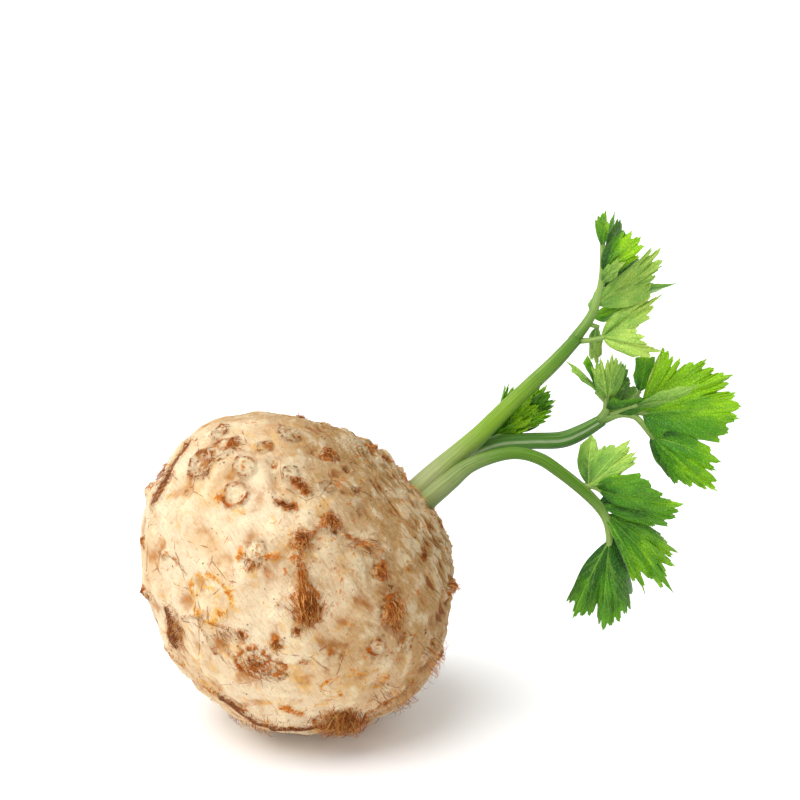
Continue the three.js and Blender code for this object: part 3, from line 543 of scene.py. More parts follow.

# %% [markdown]
# Next to its place, each point of the skin keeps how much of each paint it has: rust for orange
# cork, brown for dead rootlets, dark for dark cork and for painted shade in holes and tuft cores,
# pale for bare flesh, yellow for the stains around marks, and soil for soil and painted shade round
# them. It also keeps how deep in a groove it is, for soil and painted shade there, how near the
# crown, and how much dry husk is left on it; the husk's stain also paints shade on the right side,
# and is thinned on the top, which paints light there. The material could guess these from the
# relief, but then a pale knob and a brown tuft would look alike.

# %% Colours kept on the skin
# soil is soil and painted shade round a mark; dark is dark cork on bark and painted shade in pits
# and tuft cores.
KIND_COLOURS = {
    "ring": dict(rust_rim=0.9, brown_rim=0.62, rust_rings=0.6, yellow=0.3, pale=0.7, soil_halo=0.1),
    "disc": dict(yellow_rim=0.7, pale=0.7),
    "halo": dict(yellow_rim=0.8, rust_rim=0.5, yellow=0.25),
    "bark": dict(brown=0.85, dark=0.5, rust_rim=0.5, soil_halo=0.6),
    "line": dict(rust=0.42, brown=0.3, soil_halo=0.5),
    "orange": dict(rust=0.62, yellow_halo=0.6),
    "scar": dict(brown_rim=0.7, brown_rings=0.5, rust_rim=0.7, rust_rings=0.6, soil_halo=0.22),
    "crust": dict(rust_rim=0.8, brown_rim=0.3, rust=0.42, rust_rings=0.5, pale=0.5, soil_halo=0.55),
    "tuft": dict(brown=0.66, rust_rim=0.75, dark_core=0.5, rust=0.8, soil_halo=0.6),
    "rust": dict(rust=0.55, brown=0.3, yellow_rim=0.5, soil_halo=0.45),
    "pit": dict(dark=0.4, brown=0.6, brown_rim=0.35, rust_rim=0.3, soil_halo=0.5),
    "knob": dict(pale=0.7, rust_rim=0.6, brown_rim=0.5, rust_rings=0.3, soil_halo=0.5),
    "dent": dict(pale=0.4, yellow=0.3, soil_halo=0.2),
}
PAINTS = ("rust", "brown", "dark", "pale", "soil", "yellow")
LUMP_DIRT_AND_SHADE = 0.3
GREEN_REACH = 40.0
HUSK_REACH = 113.0
HUSK_EDGE = 56.0
CUT_THRESHOLD = 0.000001


def keep_paints(mesh, ways):
    """Writes the amounts of each paint on the points of the skin."""
    shaken = ragged(ways)
    patchy = 0.75 + 0.6 * noise_at(ways, 26.0, 31.0, octaves=2)
    amounts = {name: np.zeros(len(ways)) for name in PAINTS}
    for mark in ALL_MARKS:
        body, rim, rings, halo = mark_profile(mark, shaken)
        parts = {"": body, "core": body ** 3, "halo": halo}
        parts.update(rim=rim * patchy, rings=rings * patchy)
        for key, strength in KIND_COLOURS[mark["kind"]].items():
            name, _, where = key.partition("_")
            amounts[name] = np.maximum(amounts[name], strength * parts[where])
    for name, values in amounts.items():
        write_values(mesh, name, np.clip(values, 0, 1))
    # Soil and painted shade in the grooves and low lumps, and a painted highlight on raised parts.
    relief = fine_height(ways, shaken) + LUMP_DIRT_AND_SHADE * lumps(ways)
    write_values(mesh, "groove", np.clip(0.48 - relief / 1.2, 0, 1))
    reach = crown_reach(ways)
    write_values(mesh, "crown", np.exp(-(reach / GREEN_REACH) ** 2))
    # The husk's tan also paints shade on the right side, and thinning it on top paints light there.
    lit_top_and_patches = 26 * np.maximum(0, ways[:, 2]) - 20 * noise_at(ways, 4.0, 12.0)
    write_values(mesh, "husk", np.clip((HUSK_REACH - reach - lit_top_and_patches) / HUSK_EDGE, 0, 1))
    grain = mesh.attributes.new("grain", "FLOAT_VECTOR", "POINT")
    places = around_crown(ways)
    places[:, 0] /= 10
    places[:, 1:] *= 3
    grain.data.foreach_set("vector", places.astype(np.float32).ravel())


keep_paints(root_skin.data, skin_ways)
edit_all(root_skin, bpy.ops.mesh.bisect, plane_co=(0, 0, 0), plane_no=(0, 0, 1), use_fill=True,
         clear_inner=True, threshold=CUT_THRESHOLD)
bpy.ops.object.shade_smooth_by_angle(angle=math.radians(60))
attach(root_skin, "root")
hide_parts("root")
print("paints kept on the skin:", ", ".join(PAINTS))


# %% [markdown]
# A material is a small network of nodes, and a few helpers keep each one readable. One adds a
# node and fills its sockets with a number, a colour or the output of another node. The others use
# it to mix two colours, do a sum, fade a number in, read what the points keep, and make noise, a
# net of cells or fine relief. Nodes could be placed by hand in the editor, but then they couldn't
# be read here.

# %% Node helpers
FLESH_LIGHT = (1.0, 0.7, 0.4)
LEAF_LIGHT = (0.5, 1.0, 0.15)


def new_material(name, roughness, subsurface=0.0, subsurface_scale=0.001, inner_light=FLESH_LIGHT,
                 shine=0.5):
    """An empty material and its surface shader, with its constant values set on the shader."""
    material = bpy.data.materials.new(name)
    material.use_nodes = True
    shader = material.node_tree.nodes["Principled BSDF"]
    shader.inputs["Roughness"].default_value = roughness
    shader.inputs["Specular IOR Level"].default_value = shine
    shader.inputs["Subsurface Weight"].default_value = subsurface
    shader.inputs["Subsurface Scale"].default_value = subsurface_scale
    shader.inputs["Subsurface Radius"].default_value = inner_light
    return material, shader


def add(tree, kind, sockets=(), **settings):
    """Adds a node, sets its options and fills its sockets with values or links."""
    made = tree.nodes.new(kind)
    for key, value in settings.items():
        setattr(made, key, value)
    for key, value in dict(sockets).items():
        if isinstance(value, bpy.types.NodeSocket):
            tree.links.new(value, made.inputs[key])
        else:
            made.inputs[key].default_value = value
    return made


def mix(tree, factor, first, second, blend="MIX"):
    """Mixes two colours by a factor from 0 to 1."""
    sockets = {0: factor, 6: first, 7: second}
    return add(tree, "ShaderNodeMix", sockets, data_type="RGBA", blend_type=blend).outputs[2]


def sums(tree, operation, first, second=0.0, clamp=False):
    """One sum on one or two numbers."""
    made = add(tree, "ShaderNodeMath", {0: first, 1: second}, operation=operation, use_clamp=clamp)
    return made.outputs[0]


def times(tree, first, second):
    """The product of two numbers."""
    return sums(tree, "MULTIPLY", first, second)


def ramp(tree, factor, low, high, first=0.0, second=1.0):
    """A number that goes smoothly from first to second as the factor goes from low to high."""
    sockets = {0: factor, 1: low, 2: high, 3: first, 4: second}
    made = add(tree, "ShaderNodeMapRange", sockets, interpolation_type="SMOOTHSTEP", clamp=True)
    return made.outputs[0]


def kept(tree, name, part="Fac"):
    """A number that is kept on the piece's points, or a whole vector."""
    return add(tree, "ShaderNodeAttribute", attribute_name=name).outputs[part]


def place_in(tree):
    """The place on the object, in metres."""
    return add(tree, "ShaderNodeTexCoord").outputs["Object"]


def cloud(tree, vector, scale, detail=2.0, roughness=0.5, distortion=0.0):
    """Noise from about 0.2 to 0.8, in features of about one metre divided by the scale."""
    sockets = {"Vector": vector, "Scale": scale, "Detail": detail, "Roughness": roughness,
               "Distortion": distortion}
    return add(tree, "ShaderNodeTexNoise", sockets).outputs["Fac"]


def net(tree, vector, scale):
    """How far it is to the nearest line of a net of cells, for cracks and fine veins."""
    sockets = {"Vector": vector, "Scale": scale, "Randomness": 1.0}
    made = add(tree, "ShaderNodeTexVoronoi", sockets, feature="DISTANCE_TO_EDGE")
    return made.outputs["Distance"]


def bump(tree, shader, height, distance, normal=None):
    """Adds relief too fine for the mesh, and returns the normal for more relief on top."""
    sockets = {"Height": height, "Distance": distance}
    if normal is not None:
        sockets["Normal"] = normal
    made = add(tree, "ShaderNodeBump", sockets)
    tree.links.new(made.outputs["Normal"], shader.inputs["Normal"])
    return made.outputs["Normal"]


print("node helpers ready")

# %% [markdown]
# Celeriac skin is cream where it is clean, tan where soil and husk have stained it, and streaked by
# fibres that run round the crown. The husk's tan also paints shade on the right side. Soil and
# painted shade darken its grooves, and a painted highlight pales its raised parts. Cork and dead
# rootlets come on top in rust and brown, by the amounts kept on the points. Noise is added to each
# amount before it is cut off, so that paint breaks up into crumbs at its edge, the way cork does.
# Fine dark specks and hair cracks are left to the material, because they have hardly any depth.

# %% Root material
CREAM = paint(243, 222, 187)
SAND = paint(224, 184, 130)
TAN = paint(206, 144, 68)
YELLOW = paint(246, 188, 80)
RUST = paint(220, 112, 10)
BROWN = paint(148, 68, 10)
DARK = paint(80, 30, 4)
PALE = paint(254, 236, 196)
GREY = paint(178, 126, 62)
CROWN_GREEN = paint(162, 142, 84)
STRAW = paint(232, 178, 96)
SOIL_AND_SHADE = paint(190, 118, 34)


def clean_skin(tree, place, streaks, finer, husk):
    """Cream skin, tan stains, fibres, soil and painted shade in grooves, painted highlights on
    rises.
    """
    stains = cloud(tree, place, 38, detail=5, roughness=0.62, distortion=0.7)
    blots = cloud(tree, place, 110, detail=4, roughness=0.6, distortion=0.9)
    groove = kept(tree, "groove")
    # The husk's tan here is real husk near the crown and also painted shade on the right side.
    stained = sums(tree, "ADD", ramp(tree, stains, 0.44, 0.66, 0.0, 0.6), husk, clamp=True)
    colour = mix(tree, stained, CREAM, SAND)
    colour = mix(tree, times(tree, husk, 0.36), colour, TAN)
    warm = mix(tree, husk, YELLOW, TAN)
    colour = mix(tree, ramp(tree, blots, 0.52, 0.7, 0.0, 0.6), colour, warm)
    fibres = ramp(tree, streaks, 0.5, 0.66)
    colour = mix(tree, times(tree, fibres, ramp(tree, husk, 0, 1, 0.3, 0.65)), colour, TAN)
    threads = ramp(tree, finer, 0.53, 0.64)
    colour = mix(tree, times(tree, threads, ramp(tree, husk, 0, 1, 0.35, 0.7)), colour, GREY)
    pale_threads = ramp(tree, finer, 0.36, 0.46, 0.5, 0.0)
    colour = mix(tree, times(tree, pale_threads, husk), colour, PALE)
    colour = mix(tree, times(tree, kept(tree, "crown"), 0.6), colour, CROWN_GREEN)
    # Soil and painted shade darken the grooves; a painted highlight pales the raised parts.
    dirt_and_shade = ramp(tree, groove, 0.5, 0.95, 0.0, 0.85)
    colour = mix(tree, dirt_and_shade, colour, mix(tree, husk, SOIL_AND_SHADE, BROWN))
    colour = mix(tree, ramp(tree, groove, 0.44, 0.14, 0.0, 0.6), colour, PALE)
    return mix(tree, kept(tree, "pale"), colour, PALE)


def with_cork(tree, place, colour, speckle, rough_edge, corky):
    """Soil, cork, dead rootlets and holes, with painted shade, on a colour by the amounts kept."""
    crumbs = sums(tree, "SUBTRACT", sums(tree, "ADD", speckle, rough_edge), 1.0)
    crumbs = times(tree, crumbs, 1.5)
    # Soil also stands for painted shade round marks, dark for painted shade in holes and tuft
    # cores.
    paints = (("soil", SOIL_AND_SHADE), ("yellow", YELLOW), ("rust", RUST), ("brown", BROWN), ("dark", DARK))
    for name, shade in paints:
        amount = kept(tree, name)
        spotted = ramp(tree, sums(tree, "ADD", amount, crumbs), 0.3, 0.7, 0.0, 0.9)
        amount = sums(tree, "MULTIPLY", spotted, ramp(tree, amount, 0.02, 0.3), clamp=True)
        colour = mix(tree, amount, colour, shade)
    wool = cloud(tree, place, 1300, detail=3, roughness=0.7)
    light_wool = ramp(tree, wool, 0.54, 0.66, 0.0, 0.5)
    return mix(tree, times(tree, corky, light_wool), colour, STRAW)


def with_specks(tree, place, colour, speckle, rough_edge, husk):
    """Rust flecks, dust, dark specks and hair cracks on top of a colour."""
    flecks = ramp(tree, rough_edge, 0.57, 0.66)
    where = sums(tree, "ADD", cloud(tree, place, 48, detail=3, roughness=0.6),
                 times(tree, husk, 0.08))
    where = ramp(tree, where, 0.4, 0.62)
    colour = mix(tree, times(tree, flecks, times(tree, where, 0.8)), colour, RUST)
    dust = ramp(tree, speckle, 0.56, 0.68, 0.0, 0.5)
    colour = mix(tree, dust, colour, TAN)
    cells = add(tree, "ShaderNodeTexVoronoi", {"Vector": place, "Scale": 420.0})
    speck = ramp(tree, cells.outputs["Distance"], 0.1, 0.24, 1.0, 0.0)
    chosen = ramp(tree, cloud(tree, place, 170), 0.57, 0.64, 0.0, 0.8)
    colour = mix(tree, times(tree, speck, chosen), colour, DARK)
    wander = times(tree, cloud(tree, place, 260, detail=3), 0.09)
    bent = sums(tree, "ADD", net(tree, place, 60.0), wander)
    crack = ramp(tree, bent, 0.046, 0.056, 1.0, 0.0)
    some = ramp(tree, cloud(tree, place, 34), 0.48, 0.58, 0.0, 0.6)
    return mix(tree, times(tree, crack, some), colour, BROWN)


def root_material():
    """Clean skin, cork and specks in turn, and five layers of fine relief."""
    material, shader = new_material("root_skin", roughness=0.7, subsurface=0.05,
                                    subsurface_scale=0.002, shine=0.2)
    tree = material.node_tree
    place = place_in(tree)
    sockets = {"Vector": kept(tree, "grain", "Vector"), "Scale": (6.0, 0.9, 0.9)}
    stretched = add(tree, "ShaderNodeMapping", sockets).outputs[0]
    streaks = cloud(tree, stretched, 2.6, detail=5, roughness=0.7, distortion=0.4)
    finer = cloud(tree, stretched, 9, detail=4, roughness=0.75, distortion=0.3)
    speckle = cloud(tree, place, 1000, detail=4, roughness=0.8)
    rough_edge = cloud(tree, place, 330, detail=4, roughness=0.75, distortion=0.6)
    husk = kept(tree, "husk")
    corky = sums(tree, "ADD", kept(tree, "brown"), kept(tree, "rust"), clamp=True)

    colour = clean_skin(tree, place, streaks, finer, husk)
    colour = with_cork(tree, place, colour, speckle, rough_edge, corky)
    colour = with_specks(tree, place, colour, speckle, rough_edge, husk)
    tree.links.new(colour, shader.inputs["Base Color"])

    coarse = times(tree, cloud(tree, place, 900, detail=5, roughness=0.7), corky)
    normal = bump(tree, shader, coarse, 0.0022)
    by_husk = ramp(tree, husk, 0, 1, 0.3, 1)
    normal = bump(tree, shader, times(tree, finer, by_husk), 0.0013, normal)
    normal = bump(tree, shader, times(tree, streaks, by_husk), 0.0013, normal)
    normal = bump(tree, shader, rough_edge, 0.0005, normal)
    bump(tree, shader, cloud(tree, place, 1500, detail=3), 0.00018, normal)
    return material


root_skin.data.materials.append(root_material())
print("root material has", len(root_skin.data.materials[0].node_tree.nodes), "nodes")


# %% [markdown]
# Dead rootlets stand off the skin like coarse hair, thickest in the tufts. Particle hair would be
# lost when the model leaves Blender, so each hair is a thin three-sided tube that ends in a point.
# A hair is a short walk over the skin: it starts in the skin, lifts off, and bends as it goes.

# %% Hair helper
HAIR_SIDES = 3
HAIR_RINGS = 6
HAIR_ROOTED = 0.4
HAIR_LOWEST = 0.3


def hair_mesh(name, routes, widths, shades, material):
    """One object out of many tapering tubes, each along its own row of points."""
    count, rings = routes.shape[:2]
    ahead = np.gradient(routes, axis=1)
    ahead /= np.maximum(np.linalg.norm(ahead, axis=2, keepdims=True), 1e-12)
    outward = unit((routes[:, 0] - np.array(ROOT_MIDDLE)))[:, None, :]
    side = np.cross(ahead, outward + 1e-3)
    side /= np.maximum(np.linalg.norm(side, axis=2, keepdims=True), 1e-12)
    other = np.cross(side, ahead)
    taper = (1 - np.linspace(0, 1, rings) ** 2 * 0.85)[None, :, None, None]
    turns = np.arange(HAIR_SIDES) * FULL_TURN / HAIR_SIDES
    circle = (side[:, :, None, :] * np.cos(turns)[None, None, :, None]
              + other[:, :, None, :] * np.sin(turns)[None, None, :, None])
    half = np.asarray(widths)[:, None, None, None] / 2
    points = (routes[:, :, None, :] + circle * half * taper).reshape(-1, 3)
    faces = []
    for hair in range(count):
        first = hair * rings * HAIR_SIDES
        for ring in range(rings - 1):
            low = first + ring * HAIR_SIDES
            for corner in range(HAIR_SIDES):
                after = (corner + 1) % HAIR_SIDES
                faces.append((low + after, low + corner, low + corner + HAIR_SIDES,
                              low + after + HAIR_SIDES))
        faces.append(tuple(first + corner for corner in range(HAIR_SIDES)))
        last = first + (rings - 1) * HAIR_SIDES
        faces.append(tuple(last + corner for corner in reversed(range(HAIR_SIDES))))
    mesh = bpy.data.meshes.new(name)
    mesh.from_pydata(points.tolist(), [], faces)
    mesh.materials.append(material)
    write_values(mesh, "shade", np.repeat(shades, rings * HAIR_SIDES))
    item = bpy.data.objects.new(name, mesh)
    bpy.context.scene.collection.objects.link(item)
    select_only(item)
    bpy.ops.object.shade_smooth()
    return item


def walk(chance, way, flow, length, lift, curl):
    """The route of one hair over the skin, as directions and heights above the skin."""
    way = np.array(way)
    flow = np.array(flow) - way * (np.array(flow) @ way)
    flow = flow / max(np.linalg.norm(flow), 1e-9)
    side = np.cross(way, flow)
    bend = chance.gauss(0, curl)
    ways = []
    heights = []
    for ring in range(HAIR_RINGS):
        part = ring / (HAIR_RINGS - 1)
        turn = bend * part + chance.gauss(0, 0.12 * curl)
        step = flow * math.cos(turn) + side * math.sin(turn)
        ways.append(way + step * part * length / ROOT_DEPTH_RADIUS)
        heights.append(-HAIR_ROOTED + lift * math.sin(part * 2.2) + HAIR_ROOTED * part)
    return ways, heights


def hair_routes(walks):
    """Points in metres for many walks at once, each on the finished skin."""
    ways = unit(np.array([way for ways, _ in walks for way in ways]))
    heights = np.array([height for _, heights in walks for height in heights])
    radius = (root_radius(ways) + heights) * MM
    points = np.array(ROOT_MIDDLE) + ways * radius[:, None]
    points[:, 2] = np.maximum(points[:, 2], HAIR_LOWEST * MM)
    return points.reshape(len(walks), HAIR_RINGS, 3)


print("a hair has", HAIR_SIDES * HAIR_RINGS, "points")

# %% [markdown]
# The tufts are listed like the marks: where the tuft is seen, how wide it spreads, which way its
# hairs flow or where they meet, and how many and how long they are. Where hairs meet, the length
# is a share of the way there.

# %% Tufts of rootlets
TUFTS = [
    dict(at=(2.4, 1.0), spread=(2.0, 8.0), meet=(4.6, -16.0), count=110, length=0.75, lift=1.0),
    dict(at=(3.4, -7.0), spread=(4.4, 4.0), meet=(5.4, -18.6), count=190, length=0.9, lift=2.6),
    dict(at=(4.8, -12.0), spread=(7.4, 6.0), meet=(5.6, -19.4), count=200, length=1.1, lift=2.2),
    dict(at=(37.2, -12.6), spread=(3.6, 3.8), flow=(1.0, -6.0), count=190, length=5.0, lift=1.5),
    dict(at=(38.4, -19.0), spread=(2.4, 2.4), flow=(0.5, -6.0), count=60, length=4.0, lift=1.0),
    dict(at=(18.4, -54.6), spread=(8.0, 3.6), flow=(6.0, -3.0), count=270, length=7.0, lift=2.8),
    dict(at=(19.0, -55.0), spread=(8.0, 3.6), flow=(-6.0, -2.0), count=250, length=7.0, lift=2.8),
    dict(at=(38.0, -47.0), spread=(9.0, 6.0), flow=(5.0, -5.0), count=110, length=5.5, lift=2.6),
    dict(at=(-14.0, -55.0), spread=(14.0, 5.0), flow=(6.0, -6.0), count=110, length=6.0, lift=2.2),
    dict(at=(-15.6, -33.4), spread=(6.0, 5.0), flow=(4.0, -3.0), count=120, length=4.5, lift=0.9),
    dict(at=(-46.4, -20.0), spread=(2.6, 6.0), flow=(1.5, -8.0), count=120, length=5.5, lift=1.0),
    dict(at=(-50.0, 40.0), spread=(4.0, 8.0), flow=(-6.0, -9.0), count=110, length=5.5, lift=1.6),
    dict(at=(13.7, 19.8), spread=(3.0, 3.0), flow=(1.0, -3.0), count=80, length=3.6, lift=0.9),
    dict(at=(2.3, 12.9), spread=(3.0, 2.6), flow=(1.0, -4.0), count=70, length=4.2, lift=0.8),
    dict(at=(25.0, 12.0), spread=(8.0, 2.0), flow=(8.0, -3.4), count=60, length=5.5, lift=0.5),
    dict(at=(32.3, 1.9), spread=(2.4, 2.4), flow=(1.0, -4.0), count=70, length=3.4, lift=0.9),
    dict(at=(58.1, -4.6), spread=(2.0, 3.0), flow=(3.0, -3.0), count=80, length=4.2, lift=1.6),
    dict(at=(52.0, -32.0), spread=(5.0, 8.0), flow=(4.0, -6.0), count=110, length=5.5, lift=2.8),
    dict(at=(13.3, 46.0), spread=(3.0, 2.6), flow=(3.0, -3.0), count=60, length=3.2, lift=0.7),
    dict(at=(28.9, 48.6), spread=(2.4, 2.0), flow=(4.0, -2.0), count=40, length=3.4, lift=1.0),
    dict(at=(3.8, 33.0), spread=(2.4, 2.0), flow=(2.0, -3.0), count=40, length=3.0, lift=0.6),
    dict(at=(-22.4, 48.6), spread=(2.0, 2.0), flow=(1.0, -3.0), count=40, length=3.0, lift=0.6),
    dict(at=(-14.8, 5.0), spread=(4.4, 2.4), flow=(1.0, -5.0), count=50, length=3.4, lift=0.7),
    dict(at=(-29.0, -22.0), spread=(5.0, 5.0), flow=(6.0, -7.0), count=70, length=5.5, lift=0.6),
    dict(at=(-56.2, -6.8), spread=(2.0, 2.4), flow=(-2.0, -4.0), count=40, length=3.0, lift=1.0),
    dict(at=(-7.6, -25.8), spread=(2.0, 2.0), flow=(1.0, -4.0), count=30, length=3.0, lift=0.7),
]
print(sum(tuft["count"] for tuft in TUFTS), "hairs in", len(TUFTS), "tufts")

# %% [markdown]
# Each hair's start, length, lift and bend are drawn by chance, always in the same order. Besides
# the tufts there are loose hairs all over, and a ring of short dry fibres round the crown. Evenly
# spread hairs would look like a brush, so loose ones keep mostly to the lower half.

# %% Walks of the hairs
HIDDEN_TUFT_HAIRS = 36
LOOSE_HAIRS = 330
CROWN_FIBRES = 1300


def tuft_walks(chance):
    """The walks of all hairs in the listed tufts."""
    walks = []
    for tuft in TUFTS:
        meet = "meet" in tuft
        shift = tuft.get("flow", (0, 0))
        end = tuft["meet"] if meet else (tuft["at"][0] + shift[0], tuft["at"][1] + shift[1])
        end = seen_direction(end)
        flow = end - seen_direction(tuft["at"])
        for _ in range(tuft["count"]):
            across = tuft["at"][0] + chance.gauss(0, 0.5) * tuft["spread"][0]
            up = tuft["at"][1] + chance.gauss(0, 0.5) * tuft["spread"][1]
            start = seen_direction((across, up))
            length = tuft["length"] * chance.uniform(0.4, 1.2)
            if meet:
                flow = end - start
                length *= float(np.linalg.norm(flow)) * ROOT_DEPTH_RADIUS
            lift = tuft["lift"] * chance.uniform(0.1, 1.3)
            walks.append(walk(chance, start, flow, length, lift, 0.3 if meet else 0.55))
    return walks


def hidden_tuft_walks(chance):
    """Hairs on the tufts of the sides that the viewer doesn't see."""
    walks = []
    for mark in ALL_MARKS[len(SEEN):]:
        if mark["kind"] in ("tuft", "scar"):
            for _ in range(HIDDEN_TUFT_HAIRS):
                jitter = np.array([chance.gauss(0, 0.4) for _ in range(3)]) * mark["size"]
                way = unit((mark["start"] + jitter / ROOT_DEPTH_RADIUS)[None, :])[0]
                flow = np.array([chance.gauss(0, 0.5), chance.gauss(0, 0.5), -1.0])
                walks.append(walk(chance, way, flow, chance.uniform(1.6, 5.0),
                                  chance.uniform(0.2, 1.4), 0.6))
    return walks


def loose_walks(chance):
    """Single hairs all over the root, most of them on its lower half."""
    walks = []
    while len(walks) < LOOSE_HAIRS:
        way = np.array([chance.gauss(0, 1) for _ in range(3)])
        way = way / np.linalg.norm(way)
        if chance.random() < 0.2 - 0.5 * way[2] + 0.4 * max(0, way[0]):
            flow = np.array([chance.gauss(0, 1) for _ in range(3)])
            walks.append(walk(chance, way, flow, chance.uniform(1.5, 6.0),
                              chance.uniform(0.0, 1.3), 1.3))
    return walks


def crown_walks(chance):
    """Short dry fibres that lie along the rings near the crown."""
    walks = []
    pole = Vector(CROWN)
    for _ in range(CROWN_FIBRES):
        lean = abs(chance.gauss(0, 20.0)) + 7.0
        turn = chance.uniform(0, FULL_TURN)
        side = pole.orthogonal().normalized()
        side.rotate(Quaternion(pole, turn))
        angle = lean / ROOT_DEPTH_RADIUS
        way = np.array(pole * math.cos(angle) + side * math.sin(angle))
        flow = np.cross(CROWN, way) * chance.choice((-1, 1))
        flow = flow + np.array(CROWN) * chance.uniform(-0.2, 0.9)
        length = chance.uniform(1.6, 6.0)
        walks.append(walk(chance, way, flow, length, chance.uniform(0.1, 1.2), 0.4))
    return walks


hair_chance = random.Random(5)
tuft_hairs = tuft_walks(hair_chance) + hidden_tuft_walks(hair_chance)
loose_hairs = loose_walks(hair_chance)
crown_hairs = crown_walks(hair_chance)
print(len(tuft_hairs), "hairs in tufts,", len(loose_hairs), "loose hairs")
print(len(crown_hairs), "dry fibres at the crown")


# %% [markdown]
# All hairs become one object. Every hair has a shade of its own, from dark brown to straw: most
# hairs in a tuft are either dark or light, and those at the crown are dry and pale.

# %% Rootlets
HAIR_WIDTHS = (0.1, 0.24)
HAIR_DARK = paint(112, 44, 6)
HAIR_RUST = paint(204, 108, 24)
HAIR_STRAW = paint(244, 190, 112)


def hair_material():
    """Dry rootlets, from straw to dark brown, each hair in a shade of its own."""
    material, shader = new_material("dry_rootlets", roughness=0.65, shine=0.15)
    tree = material.node_tree
    place = place_in(tree)
    shade = kept(tree, "shade")
    colour = mix(tree, ramp(tree, shade, 0.0, 0.45), HAIR_DARK, HAIR_RUST)
    colour = mix(tree, ramp(tree, shade, 0.4, 0.9), colour, HAIR_STRAW)
    flakes = ramp(tree, cloud(tree, place, 900, detail=2), 0.4, 0.7, 0.0, 0.25)
    colour = mix(tree, flakes, colour, BROWN)
    tree.links.new(colour, shader.inputs["Base Color"])
    return material


all_walks = tuft_hairs + loose_hairs + crown_hairs
shades = [hair_chance.betavariate(0.55, 0.8) for _ in tuft_hairs]
shades += [hair_chance.uniform(0.2, 0.8) for _ in loose_hairs]
shades += [hair_chance.uniform(0.4, 1.0) for _ in crown_hairs]
hair_widths = [hair_chance.uniform(*HAIR_WIDTHS) * MM for _ in all_walks]
rootlets = hair_mesh("rootlets", hair_routes(all_walks), hair_widths, shades, hair_material())
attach(rootlets, "root")
print(len(all_walks), "hairs,", len(rootlets.data.polygons), "faces")

# %% [markdown]
# The leaves repeat the routes and tooth tips of the solids, so the finer pieces lie where the
# solids are. A stem is a route and its widths. A leaflet is the place of its base and the tips of
# its teeth in turn; a fourth number on a tip is the depth of the notch after it. The tone says how
# light a leaflet looks, its own green together with painted light where it lies in full light and
# painted shade where others shade it, and several tones run from its first tooth to its last. A
# darker base, painted shade near the stem, and more crumpling are given where a leaflet has them,
# and one that shows the viewer its paler underside says so.

